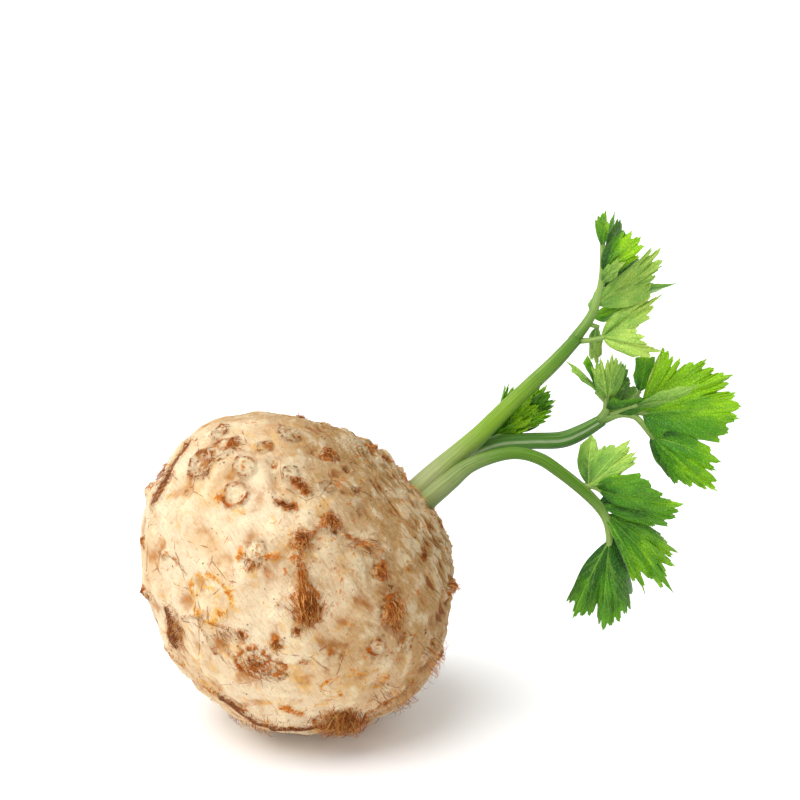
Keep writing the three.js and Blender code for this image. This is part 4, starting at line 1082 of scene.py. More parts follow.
# %% Upper stalk's list
UPPER_STALK = dict(
    stems=[
        dict(route=[(42.5, 27.5, 9), (50.0, 34.8, 9.4), (56.6, 41.0, 9.8), (63.6, 47.4, 10.4),
              (71.0, 54.2, 11), (78.0, 61.2, 11.8), (84.8, 67.8, 12.4), (91.6, 74.2, 13.2),
              (98.8, 81.0, 14.4), (107.2, 90.1, 16)],
             widths=[11.4, 10.8, 9.6, 8.2, 7.2, 6.7, 6.3, 6.0, 5.6, 4.8]),
        dict(route=[(105.5, 88.6, 16), (112.1, 97.7, 17), (115.1, 105.3, 18),
              (116.7, 112.9, 18.5), (117.0, 121.6, 18.5), (116.7, 131.0, 18)],
             widths=[4.6, 3.7, 3.0, 2.6, 2.3, 1.7]),
        dict(route=[(107.0, 88.9, 16), (112.1, 89.2, 15.5), (118.0, 90.4, 14.6)],
             widths=[2.4, 2.0, 1.8]),
        dict(route=[(111.0, 95.5, 17), (115.4, 94.2, 18.4)], widths=[2.0, 1.6]),
    ],
    leaflets=[
        dict(base=(116.0, 90.6, 14.6), tone=0.75, under=True, tips=[(122.0, 99.5, 17, 0),
            (129.5, 103.6, 20, 0.05), (134.9, 106.4, 22), (139.8, 106.8, 24),
            (136.4, 101.8, 21, 0.09), (134.9, 97.3, 17), (130.3, 94.2, 14, 0.3)]),
        dict(base=(117.0, 90.3, 14.4), tone=0.9, under=True, tips=[(130.3, 93.1, 11),
            (133.4, 90.8, 9), (134.5, 87.8, 7.5), (136.8, 86.3, 6.5), (139.8, 85.1, 6, 0.08),
            (134.9, 82.6, 7, 0.03), (128.8, 82.8, 9, 0), (121.6, 85.9, 12)]),
        dict(base=(113.6, 97.9, 17.4), tone=0.8, tips=[(120.5, 103.7, 22, 0.02),
            (127.3, 104.9, 26, 0.06), (133.4, 106.4, 29), (130.7, 104.1, 28, 0.06),
            (124.3, 101.1, 25, 0.02), (118.2, 96.5, 21)]),
        dict(base=(115.9, 102.0, 17.8), tone=0.6, under=True, tips=[(122.7, 113.2, 20, 0),
            (129.6, 118.9, 23, 0.05), (135.3, 124.6, 26), (139.5, 124.6, 28),
            (139.5, 119.7, 27, 0.06), (139.1, 117.4, 26, 0.08), (136.8, 113.6, 24, 0.04),
            (135.3, 110.2, 22, 0.04), (134.6, 106.9, 21, 0)]),
        dict(base=(117.2, 104.4, 19.2), tone=0.4, tips=[(134.1, 111.0, 31, 0.02),
            (139.5, 110.6, 34, 0.02), (144.0, 110.8, 36, 0.04), (138.3, 107.9, 33, 0.04),
            (131.0, 106.4, 28)]),
        dict(base=(117.4, 114.6, 18.2), inner=0.9, tone=(-0.4, 0.5, 1.0, 1.0, 0.9, 0.4), tips=[
            (121.6, 128.8, 15, 0.04), (125.4, 131.1, 13), (128.1, 130.9, 11, 0.08),
            (131.9, 128.8, 9, 0.06), (133.0, 125.0, 8), (131.5, 121.2, 9, 0.1),
            (127.5, 118.4, 12)]),
        dict(base=(117.4, 118.2, 19.4), tone=-0.5, tips=[(119.3, 134.1, 25, 0.1),
            (122.0, 135.3, 28, 0.06), (123.9, 135.3, 30, 0.08), (124.9, 130.3, 31),
            (126.6, 125.4, 30, 0.05), (124.0, 120.0, 26)]),
        dict(base=(116.9, 124.4, 18), tone=0.5, tips=[(114.0, 135.1, 16, 0.06),
            (115.1, 136.6, 15, 0.05), (116.7, 137.9, 14, 0.04), (118.2, 138.7, 14, 0.14),
            (119.2, 134.0, 16)]),
        dict(base=(117.2, 128.2, 18.4), tone=0.4, tips=[(119.6, 134.6, 20, 0.02),
            (121.0, 138.3, 22, 0.02), (120.9, 133.8, 23)]),
        dict(base=(116.9, 111.0, 18), tone=0.3, under=True, tips=[(119.4, 118.4, 13),
            (122.7, 120.5, 10, 0.1), (125.6, 118.9, 9), (122.6, 113.8, 12)]),
        dict(base=(116.9, 109.4, 19), tone=-0.5, tips=[(123.3, 119.4, 29),
            (128.1, 120.8, 33, 0.08), (131.5, 121.2, 36), (130.6, 117.2, 35, 0.06),
            (126.5, 113.0, 30)]),
        dict(base=(112.5, 98.6, 18), tone=0.25, under=True, tips=[(111.5, 103.2, 29),
            (114.4, 108.5, 35, 0.1), (115.4, 104.6, 33)]),
        dict(base=(115.0, 94.8, 18.2), tone=0.6, under=True, tips=[(112.7, 87.0, 24, 0.02),
            (112.7, 81.9, 27, 0.1), (115.1, 79.4, 25, 0.08), (116.7, 83.8, 20, 0.04),
            (117.2, 90.0, 16)]),
    ],
)
print("upper stalk:", len(UPPER_STALK["leaflets"]), "leaflets")

# %% [markdown]
# The middle stalk carries the largest and brightest leaflet of the plant, in full light, with a
# cluster of smaller folded ones at the fork behind it.

# %% Middle stalk's list
MIDDLE_STALK = dict(
    stems=[
        dict(route=[(46.5, 30.4, 12), (52.0, 34.6, 12.6), (59.4, 40.4, 13.4), (68.4, 46.4, 14.2),
              (77.9, 50.0, 15), (89.3, 50.9, 15.6), (100.7, 51.3, 16), (108.3, 54.0, 16),
              (117.0, 59.0, 16)],
             widths=[6.4, 6.4, 6.3, 6.3, 6.3, 6.3, 6.4, 6.0, 4.6], channel=(0, -1, 0.15)),
        dict(route=[(115.6, 58.4, 16), (118.2, 62.6, 15.6), (118.6, 68.2, 15)],
             widths=[4.0, 3.0, 2.6]),
        dict(route=[(115.6, 58.6, 16), (122.7, 60.9, 15.8), (127.3, 60.8, 15.6),
              (130.8, 58.9, 15), (136.6, 51.6, 13.4)], widths=[4.2, 2.8, 2.6, 2.4, 2.2]),
        dict(route=[(121.0, 60.6, 16), (127.5, 62.0, 16.6), (134.4, 61.2, 16.4)],
             widths=[2.4, 2.4, 2.0]),
        dict(route=[(120.0, 60.4, 16), (126.0, 64.2, 17.6), (131.2, 70.0, 19)],
             widths=[2.4, 2.0, 1.7]),
        dict(route=[(120.0, 61.0, 15.6), (125.4, 63.4, 14), (130.4, 64.6, 13)],
             widths=[2.2, 1.8, 1.6]),
        dict(route=[(118.3, 65.6, 15.4), (114.4, 69.6, 14.6)], widths=[1.8, 1.6]),
    ],
    leaflets=[
        dict(base=(118.6, 66.4, 15), tone=0.4, under=True, tips=[(113.6, 75.6, 12, 0.04),
            (112.5, 79.8, 10, 0.08), (114.2, 81.5, 9, 0.06), (116.1, 82.5, 8, 0.24),
            (118.6, 82.1, 7, 0.08), (120.5, 84.7, 6), (122.4, 83.2, 7, 0.06),
            (123.7, 82.2, 9, 0.2), (125.8, 80.7, 13, 0.06), (125.4, 77.5, 14, 0.03),
            (123.1, 71.6, 14)]),
        dict(base=(118.4, 66.8, 15.4), tone=0.15, tips=[(122.9, 77.6, 24), (124.4, 80.6, 26),
            (126.4, 78.2, 27), (126.8, 74.6, 25)]),
        dict(base=(117.2, 66.8, 15.2), tone=0.3, under=True, tips=[(109.9, 75.3, 13, 0),
            (103.4, 81.3, 11, 0.04), (104.5, 77.3, 10, 0.02), (108.4, 73.8, 11, 0)]),
        dict(base=(106.8, 76.0, 11.6), tone=0.3, tips=[(109.2, 80.6, 12, 0),
            (111.4, 83.6, 13, 0.02), (110.4, 80.4, 13)]),
        dict(base=(131.6, 61.2, 16.6), tone=(1.0, 1.0, 0.95, 0.85, 0.6, 0.45), tips=[
            (136.2, 72.4, 19, 0), (137.2, 78.5, 21, 0.04), (139.1, 85.1, 23, 0.04),
            (140.2, 87.0, 23, 0.05), (142.0, 85.2, 23, 0.12), (143.8, 83.2, 22, 0.12),
            (146.3, 82.5, 21, 0.14), (150.1, 81.0, 23, 0.05), (156.2, 82.1, 26, 0.1),
            (159.2, 78.7, 25, 0.06), (162.6, 77.0, 25, 0.04), (166.8, 76.2, 25, 0.08),
            (164.9, 72.6, 23, 0.12), (168.0, 69.5, 22, 0.1), (169.9, 64.2, 19, 0.1),
            (168.7, 59.3, 17, 0.08), (164.2, 53.6, 14, 0.05), (161.1, 50.2, 12, 0.03),
            (150.0, 51.2, 12, 0), (140.0, 50.0, 12.6)]),
        dict(base=(135.6, 52.8, 13.6), tone=(0.15, 0.45, 0.55, 0.3, 0.1), tips=[
            (150.0, 52.6, 10, 0), (157.7, 48.6, 8, 0.04), (162.0, 42.9, 6, 0.1),
            (160.3, 39.6, 4, 0.05), (160.6, 35.8, 3, 0.06), (160.7, 31.5, 2, 0.06),
            (156.2, 32.3, 3, 0.1), (150.5, 33.2, 5, 0.12), (144.6, 34.4, 8, 0.06),
            (141.9, 37.4, 9, 0.02), (137.2, 43.3, 11, 0), (135.4, 48.4, 13)]),
        dict(base=(131.1, 69.2, 18.8), tone=0.45, tips=[(128.4, 76.0, 20, 0.03),
            (129.2, 82.5, 23, 0.04), (133.0, 84.7, 25, 0.05), (136.6, 83.0, 26, 0.04),
            (135.3, 76.8, 24)]),
        dict(base=(129.0, 64.2, 13.2), tone=0.35, under=True, tips=[(138.7, 70.0, 11, 0.01),
            (146.0, 71.6, 10, 0.01), (153.4, 72.9, 10, 0.02), (150.1, 69.3, 11, 0.02),
            (140.6, 65.9, 12)]),
        dict(base=(119.4, 62.6, 16.2), tone=0.25, under=True, tips=[(123.6, 73.2, 21),
            (126.6, 74.2, 24), (129.4, 71.6, 25, 0.1), (131.9, 67.6, 24)]),
        dict(base=(119.2, 62.2, 15.2), tone=0.1, tips=[(121.0, 67.8, 12, 0.14), (128.1, 66.9, 12),
            (135.4, 68.0, 14, 0.06), (134.4, 64.4, 14.4)]),
    ],
)
print("middle stalk:", len(MIDDLE_STALK["leaflets"]), "leaflets")

# %% [markdown]
# The lower stalk arches over and hangs. Its leaflets turn their upper sides to the viewer, and the
# last one hangs straight down, in shade.

# %% Lower stalk's list
LOWER_STALK = dict(
    stems=[
        dict(route=[(46.0, 25.4, 5), (52.0, 30.4, 4.8), (58.6, 35.8, 4.4), (66.5, 41.8, 3.6),
              (77.1, 45.6, 2.4), (85.5, 46.4, 1.4), (93.5, 44.1, 0.4), (101.1, 39.0, -0.8),
              (109.4, 32.3, -1.8), (115.9, 25.5, -2.4), (118.9, 19.0, -2.8), (119.6, 9.4, -3)],
             widths=[8.4, 8.4, 7.6, 6.0, 5.2, 5.0, 5.0, 4.8, 4.6, 4.0, 3.0, 2.2]),
        dict(route=[(107.6, 34.0, -1.6), (113.4, 33.6, -1.2), (117.0, 31.6, -2)],
             widths=[2.4, 2.2, 1.8]),
    ],
    leaflets=[
        dict(base=(111.6, 34.4, -1.2), tone=(0.2, 0.35, 0.55, 0.6), under=True, tips=[
            (107.5, 44.5, -3, 0), (108.6, 49.6, 1, 0), (112.9, 53.4, 6, 0.16),
            (120.0, 49.6, 4, 0.04), (127.3, 51.3, 1, 0.1), (127.7, 48.6, -2, 0.07),
            (129.6, 46.7, -4, 0.07), (130.3, 44.6, -6, 0.06), (129.6, 42.2, -7, 0.05),
            (124.6, 39.0, -6)]),
        dict(base=(114.0, 32.6, -1.6), tone=(0.6, 0.4, 0.4), tips=[(122.5, 38.6, -8, 0.02),
            (131.5, 39.5, -10, 0.05), (134.9, 36.9, -11, 0.04), (140.2, 31.9, -12, 0.06),
            (142.9, 29.3, -12, 0.05), (148.2, 27.2, -12, 0.06), (141.0, 25.4, -9, 0.02),
            (130.4, 27.2, -6)]),
        dict(base=(115.6, 26.4, -2.2), tone=0.4, tips=[(126.6, 25.4, 1, 0),
            (134.9, 27.8, 3, 0.02), (147.0, 26.4, 4, 0.06), (145.9, 23.9, 3, 0.05),
            (144.4, 21.4, 2, 0.08), (141.4, 18.2, 0, 0.08), (136.0, 18.2, -1, 0.05),
            (130.0, 20.0, -2, 0)]),
        dict(base=(117.4, 23.0, -2.6), tone=0.45, tips=[(128.0, 18.8, 3, 0),
            (134.9, 17.1, 5, 0.03), (137.9, 15.6, 6, 0.05), (141.0, 12.9, 6, 0.06),
            (145.5, 8.4, 5, 0.08), (143.3, 6.4, 3, 0.08), (144.4, 3.0, 1, 0.09),
            (141.7, -0.4, -1, 0.09), (143.3, -7.2, -4, 0.08), (139.1, -5.3, -4, 0.06),
            (135.3, -1.9, -4, 0.26), (133.0, -7.2, -7, 0.1), (131.1, -4.6, -7, 0.08),
            (128.4, -2.7, -6, 0.03), (125.4, 8.6, -4, 0)]),
        dict(base=(119.4, 13.0, -3), tone=(0.0, 0.16, 0.08), tips=[(113.6, 4.6, -1, 0),
            (107.2, -1.5, 2, 0.02), (103.0, -10.3, 5, 0.1), (105.6, -16.3, 4, 0.08),
            (109.1, -15.6, 2, 0.08), (112.1, -15.2, 0, 0.08), (115.5, -18.6, -3, 0.05),
            (117.0, -21.3, -5, 0.07), (120.5, -19.4, -6, 0.07), (123.5, -17.5, -7, 0.07),
            (126.2, -14.4, -6, 0.06), (127.7, -12.7, -4, 0.08), (128.4, -5.7, 0, 0.03),
            (125.6, 2.6, 2)]),
        dict(base=(114.6, 27.0, -1.4), tone=0.2, tips=[(122.0, 35.0, 10, 0.02), (129.0, 36.0, 16),
            (134.0, 33.0, 20), (137.0, 28.5, 22), (135.0, 24.0, 20, 0.05), (126.0, 23.6, 10)]),
        dict(base=(119.0, 18.0, -2.6), tone=0.2, tips=[(124.5, 9.0, 8, 0.03), (127.0, 3.0, 14),
            (125.0, -4.0, 18), (121.0, -7.0, 19), (117.0, -2.0, 16, 0.05), (117.6, 8.0, 6)]),
    ],
)
print("lower stalk:", len(LOWER_STALK["leaflets"]), "leaflets")

# %% [markdown]
# The young leaves are a crumpled bunch, dark because they shade each other. One of them reaches
# behind the upper stalk, and its tip peeps out on the other side.

# %% Young leaves' list
YOUNG_LEAVES = dict(
    stems=[
        dict(route=[(48.0, 31.6, 16), (57.0, 38.4, 17.6), (68.0, 46.6, 19.4), (77.0, 53.4, 20.4),
              (84.6, 59.6, 20.6), (89.0, 64.6, 20.4)], widths=[4.2, 4.2, 4.0, 3.6, 3.0, 2.2]),
        dict(route=[(73.0, 50.8, 20), (81.0, 54.4, 18.4), (88.0, 57.6, 18)],
             widths=[2.6, 2.2, 1.8]),
    ],
    leaflets=[
        dict(base=(84.6, 59.6, 20.6), crumple=2.4, tone=0.55, tips=[(88.6, 70.6, 22),
            (91.2, 72.2, 21), (93.4, 72.8, 20), (95.8, 72.2, 19), (97.3, 70.1, 19),
            (95.4, 65.0, 20)]),
        dict(base=(83.0, 58.4, 20.4), crumple=2.4, tone=0.15, tips=[(94.6, 69.6, 18),
            (97.6, 69.2, 17), (99.6, 66.7, 16), (98.8, 64.6, 16), (98.2, 62.4, 16),
            (93.6, 59.6, 18)]),
        dict(base=(80.4, 55.2, 18.8), crumple=2.4, tone=0.5, tips=[(92.0, 63.4, 16),
            (98.0, 63.0, 14), (97.6, 60.6, 14), (95.8, 58.4, 14), (92.6, 56.8, 15),
            (86.0, 55.4, 16)]),
        dict(base=(78.0, 54.4, 20), crumple=2.4, tone=0.65, tips=[(83.0, 61.6, 17.4),
            (87.0, 66.6, 18.6), (90.6, 68.4, 17.4), (92.6, 64.6, 15), (91.0, 60.6, 15)]),
        dict(base=(76.4, 52.8, 19.8), crumple=2.4, tone=0.7, tips=[(82.6, 57.4, 16.6),
            (86.6, 60.6, 14.8), (90.4, 60.2, 13.4), (92.0, 57.6, 13.6), (88.4, 55.4, 15)]),
        dict(base=(74.0, 51.2, 20), crumple=1.4, tone=0.4, tips=[(79.6, 61.6, 21),
            (79.4, 69.4, 21), (79.8, 72.4, 20.6), (81.3, 73.2, 20.4), (83.0, 71.8, 20.8),
            (86.0, 65.4, 21.4), (83.4, 57.4, 21)]),
        dict(base=(82.0, 57.4, 20.6), crumple=2, tone=-0.1, tips=[(86.4, 68.4, 26),
            (90.6, 70.6, 28), (95.0, 69.4, 29), (97.0, 65.4, 28), (95.0, 60.4, 27)]),
        dict(base=(78.6, 54.4, 20.4), crumple=2, tone=-0.1, tips=[(85.4, 60.6, 26),
            (91.4, 61.6, 29), (95.0, 60.0, 30), (93.0, 57.0, 27)]),
    ],
)
print("young leaves:", len(YOUNG_LEAVES["leaflets"]), "leaflets")

# %% [markdown]
# A stalk is a cylinder, cut along its length into rings that are then laid along a smooth curve.
# Each ring is set square to the curve and scaled to the stalk's width, with a channel on its upper
# side and fine ribs all round, the strings that celery is known for. Only the long edges of the
# cylinder are cut, because cutting its ends too would add faces that nobody sees.

# %% Stem helper
STEM_SIDES = 114
TWIG_SIDES = 18
TWIG_WIDTH = 3.5
TWIG_GREEN_FROM = 4.6
PAINTED_SHADE_WAY = (0.6, 0.1, -0.8)
CURVE_SAMPLES = 24
RING_STEP = 1.0
GREEN_LENGTH = 120.0
RIB_COUNT = 19
RIB_DEPTH = 0.003
CHANNEL_DEPTH = 0.22


def curve_through(places, widths=None):
    """Closely spaced points on a smooth curve through a few seen places, with the widths there."""
    widths = widths or [0] * len(places)
    knots = [np.array((*seen_point(place), width)) for place, width in zip(places, widths)]
    knots = [2 * knots[0] - knots[1]] + knots + [2 * knots[-1] - knots[-2]]
    points = []
    for index in range(len(places) - 1):
        for sample in range(CURVE_SAMPLES):
            points.append(smooth(*knots[index:index + 4], sample / CURVE_SAMPLES))
    points = np.array(points + [knots[-2]])
    return points[:, :3], points[:, 3]


def cut_cylinder(name, sides, rings):
    """An upright cylinder, cut into rings across its long edges, with its ends left whole."""
    bpy.ops.object.select_all(action="DESELECT")
    bpy.ops.mesh.primitive_cylinder_add(vertices=sides, radius=1, depth=2, end_fill_type="TRIFAN")
    item = bpy.context.object
    item.name = name
    bpy.ops.object.mode_set(mode="EDIT")
    bpy.ops.mesh.select_mode(type="EDGE")
    bpy.ops.mesh.select_all(action="DESELECT")
    bpy.ops.object.mode_set(mode="OBJECT")
    for edge in item.data.edges:
        low, high = (item.data.vertices[index].co for index in edge.vertices)
        edge.select = abs(low.z - high.z) > 1
    bpy.ops.object.mode_set(mode="EDIT")
    bpy.ops.mesh.subdivide(number_cuts=rings - 1)
    bpy.ops.mesh.select_mode(type="VERT")
    bpy.ops.object.mode_set(mode="OBJECT")
    return item


def stem_piece(name, stem, crown_start):
    """One stem as an object. Its points keep how far from the crown and how thick it is there."""
    line, line_widths = curve_through(stem["route"], stem["widths"])
    steps = np.linalg.norm(np.diff(line, axis=0), axis=1)
    lengths = np.concatenate(([0], np.cumsum(steps)))
    rings = max(4, round(lengths[-1] / (RING_STEP * MM)))
    thick = max(stem["widths"]) > TWIG_WIDTH
    sides = STEM_SIDES if thick else TWIG_SIDES
    item = cut_cylinder(name, sides, rings)
    points = read_points(item.data)
    along = (points[:, 2] + 1) / 2
    at = along * lengths[-1]
    middle = np.stack([np.interp(at, lengths, line[:, axis]) for axis in range(3)], axis=1)
    widths = np.interp(at, lengths, line_widths)
    slope = np.gradient(line, axis=0)
    ahead = unit(np.stack([np.interp(at, lengths, slope[:, axis]) for axis in range(3)], axis=1))
    side = unit(np.cross(ahead, np.array((0, 1.0, 0.0))))
    over = np.cross(side, ahead)
    around = np.arctan2(points[:, 1], points[:, 0])
    reach = np.hypot(points[:, 0], points[:, 1])
    spoke = side * np.cos(around)[:, None] + over * np.sin(around)[:, None]
    ribs = np.cos(RIB_COUNT * around)
    channel_way = np.array(Vector(stem.get("channel", (0, 0, 1))).normalized())
    channel = np.maximum(0, spoke @ channel_way) ** 4
    grow = 1 - (CHANNEL_DEPTH * channel if thick else 0) + (RIB_DEPTH * ribs if thick else 0)
    radius = widths / 2 * grow * reach
    write_points(item.data, middle + spoke * radius[:, None] * MM)
    distance = np.linalg.norm(middle - np.array(crown_start), axis=1)
    write_values(item.data, "along", distance / (GREEN_LENGTH * MM))
    write_values(item.data, "channel", channel)
    write_values(item.data, "twig", np.clip((TWIG_GREEN_FROM - widths) / 2, 0, 1))
    # Painted shade: how much each point faces down and to the right, away from the light.
    write_values(item.data, "under", spoke @ np.array(PAINTED_SHADE_WAY))
    strings = item.data.attributes.new("strings", "FLOAT_VECTOR", "POINT")
    places = np.stack((np.cos(around), np.sin(around), at * 3), axis=1)
    strings.data.foreach_set("vector", places.astype(np.float32).ravel())
    edit_all(item, bpy.ops.mesh.normals_make_consistent, inside=False)
    bpy.ops.object.shade_smooth()
    print(name, "has", len(item.data.polygons), "faces")
    return item


def joined(items, name):
    """Several objects as one."""
    bpy.ops.object.select_all(action="DESELECT")
    for item in items:
        item.select_set(True)
    bpy.context.view_layer.objects.active = items[0]
    if len(items) > 1:
        bpy.ops.object.join()
    items[0].name = name
    return items[0]


CROWN_SPOT = ROOT_MIDDLE + Vector(CROWN) * ROOT_DEPTH_RADIUS * MM
print("the crown is at", tuple(round(value / MM) for value in CROWN_SPOT), "mm")


# %% [markdown]
# Stalks are nearly white where they leave the root and turn green with distance, so their colour
# follows how far along a point is. The upper stalk is yellow-green, the middle one a darker,
# bluer green. Each gets painted shade on its lower side and a pale painted highlight along its
# channel. Their pale and dark strings are noise stretched along the stalk, which looks less
# regular than lines drawn on the ribs would.

# %% Stalk materials
def stalk_material(name, base, lower, upper, dark_string_and_shade, groove):
    """Three greens, strings, painted shade below, a painted highlight in the channel, paler twigs.
    """
    material, shader = new_material(name, 0.42, 0.15, 0.002, LEAF_LIGHT, shine=0.3)
    tree = material.node_tree
    place = place_in(tree)
    along = kept(tree, "along")
    wander = times(tree, cloud(tree, place, 60, detail=3), 0.16)
    along = sums(tree, "ADD", along, sums(tree, "SUBTRACT", wander, 0.08))
    colour = mix(tree, ramp(tree, along, -0.03, 0.3), base, lower)
    colour = mix(tree, ramp(tree, along, 0.25, 0.75), colour, upper)
    lines = cloud(tree, kept(tree, "strings", "Vector"), 7, detail=3, roughness=0.65)
    colour = mix(tree, ramp(tree, lines, 0.52, 0.66, 0.0, 0.3), colour, STRING_GREEN)
    colour = mix(tree, ramp(tree, lines, 0.46, 0.34, 0.0, 0.3), colour, dark_string_and_shade)
    # Painted shade: darker on the side that faces down and away from the light.
    colour = mix(tree, ramp(tree, kept(tree, "under"), 0.0, 0.9, 0.0, 0.6), colour, dark_string_and_shade)
    # A painted highlight along the channel on the stalk's upper side.
    channel = ramp(tree, kept(tree, "channel"), 0.84, 0.99, 0.0, groove)
    colour = mix(tree, channel, colour, CHANNEL_HIGHLIGHT)
    colour = mix(tree, times(tree, kept(tree, "twig"), 0.55), colour, TWIG_GREEN)
    stains = ramp(tree, cloud(tree, place, 190, detail=4, roughness=0.7), 0.5, 0.75, 0.0, 0.25)
    colour = mix(tree, stains, colour, STAIN_GREEN)
    tree.links.new(colour, shader.inputs["Base Color"])
    normal = bump(tree, shader, lines, 0.0003)
    bump(tree, shader, cloud(tree, place, 1500, detail=2), 0.00008, normal)
    return material


PALE_BASE = paint(152, 156, 108)
CHANNEL_HIGHLIGHT = paint(200, 212, 170)
TWIG_GREEN = paint(176, 202, 112)
STRING_GREEN = paint(188, 208, 120)
STAIN_GREEN = paint(70, 112, 34)
STALK_LOOKS = {
    "upper_stalk": stalk_material("upper_stalk_green", PALE_BASE, paint(120, 156, 22),
                                  paint(68, 116, 12), paint(48, 96, 8), 0.1),
    "middle_stalk": stalk_material("middle_stalk_green", paint(120, 144, 80), paint(74, 124, 36),
                                   paint(66, 118, 30), paint(14, 66, 24), 0.5),
    "lower_stalk": stalk_material("lower_stalk_green", PALE_BASE, paint(80, 122, 8),
                                  paint(68, 114, 6), paint(56, 96, 10), 0.1),
    "young_leaves": stalk_material("young_stalk_green", paint(130, 160, 80), paint(66, 112, 34),
                                   paint(60, 106, 28), paint(24, 70, 20), 0.1),
}
LEAVES = {
    "upper_stalk": UPPER_STALK,
    "middle_stalk": MIDDLE_STALK,
    "lower_stalk": LOWER_STALK,
    "young_leaves": YOUNG_LEAVES,
}
for node_name, leaf in LEAVES.items():
    stems = [stem_piece(f"{node_name}_stem_{index}", stem, CROWN_SPOT)
             for index, stem in enumerate(leaf["stems"])]
    stalk = joined(stems, f"{node_name}_stems")
    stalk.data.materials.clear()
    stalk.data.materials.append(STALK_LOOKS[node_name])
    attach(stalk, "root")
    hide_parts(node_name)
    print(stalk.name, "has", len(stalk.data.polygons), "faces")

# %% [markdown]
# A celery leaflet is a fan of teeth with veins that run from its base to the tips. It could be a
# flat picture of a leaf cut out by transparency, but its edge has to be real. So each one starts
# as a grid: one way the grid runs from base to edge, the other way it runs from the first tooth to
# the last. The edge is pulled into teeth, the blade is arched, folded between its lobes, pleated
# between its teeth and waved a little, and a solidify modifier gives it its thickness.

# %% Teeth and veins of a leaflet
BLADE_CUT = 0.13
NOTCH_DEEPER = 1.0
NOTCH_LEAST = 0.03
SINUS_DEEPER = 0.06
SMALL_TOOTH = 0.3
VEIN_WIDTH = 0.22


def main_veins(reaches):
    """Which tooth each tooth's vein branches from: itself for the tips of the lobes."""
    last = len(reaches) - 1
    tips = [index for index, reach in enumerate(reaches)
            if reach >= reaches[max(index - 1, 0)] and reach >= reaches[min(index + 1, last)]]
    return [min(tips, key=lambda tip: abs(tip - index)) for index in range(last + 1)]


def vein_amount(turn, part, tips, parents):
    """How close each grid point is to a vein, from 0 to 1."""
    spans = np.linalg.norm(np.diff(tips, axis=0), axis=1) / MM
    span = spans[np.clip(np.floor(turn).astype(int), 0, len(spans) - 1)]
    amount = np.zeros(len(turn))
    for index, parent in enumerate(parents):
        apart = abs(index - parent)
        start = 0.0 if apart == 0 else max(0.1, 0.62 - 0.16 * apart)
        width = VEIN_WIDTH * (1.25 if apart == 0 else 0.7)
        walked = np.clip((part - start) / (1 - start), 0, 1)
        line = parent + (index - parent) * walked ** 0.85
        away = np.abs(turn - line) * span * np.maximum(part, 0.05) / (width * (1.3 - 0.8 * part))
        there = (part > start) * np.exp(-away ** 2)
        amount = np.maximum(amount, there * (1.0 if apart == 0 else 0.7))
    return amount


def toothed_edge(base, tips, cuts, parents, first, within, seed):
    """Where each grid point's line meets the edge: from tip to tip, less its notches and teeth."""
    spans = len(tips) - 1
    turn = first + within
    rough = np.array([noise.noise(Vector((value * 1.9, seed * 3.1, 0.5))) for value in turn])
    chord = tips[first] * (1 - within)[:, None] + tips[first + 1] * within[:, None]
    between = 1 - np.abs(2 * within - 1)
    depth = 0.5 * between + 0.5 * between ** 3
    small = 1 - np.abs(2 * ((within * 4) % 1) - 1)
    sinus = np.array([parents[index] != parents[index + 1] for index in range(spans)])
    uneven = np.array([noise.noise((index * 3.7, seed, 1.5)) for index in range(spans)])
    deep = cuts * NOTCH_DEEPER + NOTCH_LEAST * (cuts > 0)
    deep = (deep[:-1] + SINUS_DEEPER * sinus * (cuts[:-1] > 0)) * (1 + 0.5 * uneven)
    deep = deep[first]
    cut = deep * depth + SMALL_TOOTH * small * np.maximum(deep, 0.04) * (0.7 + rough)
    return base + (chord - base) * (1 - np.clip(cut, -0.02, 0.9))[:, None]


print("the smallest notches are", NOTCH_LEAST, "of the way to a leaflet's base")

# %% [markdown]
# Now the blade itself. Its grid has as many columns as the teeth need, and every point goes out
# from the base towards the edge. The faces of the upper side look one way and those of the
# underside the other, and each side gets a material of its own.

# %% Leaflet helper
BLADE_THICKNESS = 0.34
BLADE_ARCH = 0.09
BLADE_PLEAT = 0.035
BLADE_BULGE = 0.14
LOBE_PLEAT = 0.08
VEIN_DEPTH = 0.05
SPAN_COLUMNS = 16
BLADE_ROWS = 28


def nearest_on_stems(point, stems):
    """The spot on the middle lines of the stems that is nearest to a point."""
    spots = np.concatenate([curve_through(stem["route"])[0] for stem in stems])
    return spots[np.argmin(np.linalg.norm(spots - np.array(point), axis=1))]


def turn_faces(item, upper_in_front):
    """Points a blade's faces towards the viewer if its upper side shows, and away if not."""
    edit_all(item, bpy.ops.mesh.remove_doubles, threshold=1e-6)
    edit_all(item, bpy.ops.mesh.normals_make_consistent, inside=False)
    total = sum((face.normal * face.area for face in item.data.polygons), Vector())
    shows = -total.dot(FORWARD) > 0
    if shows != upper_in_front:
        edit_all(item, bpy.ops.mesh.flip_normals)


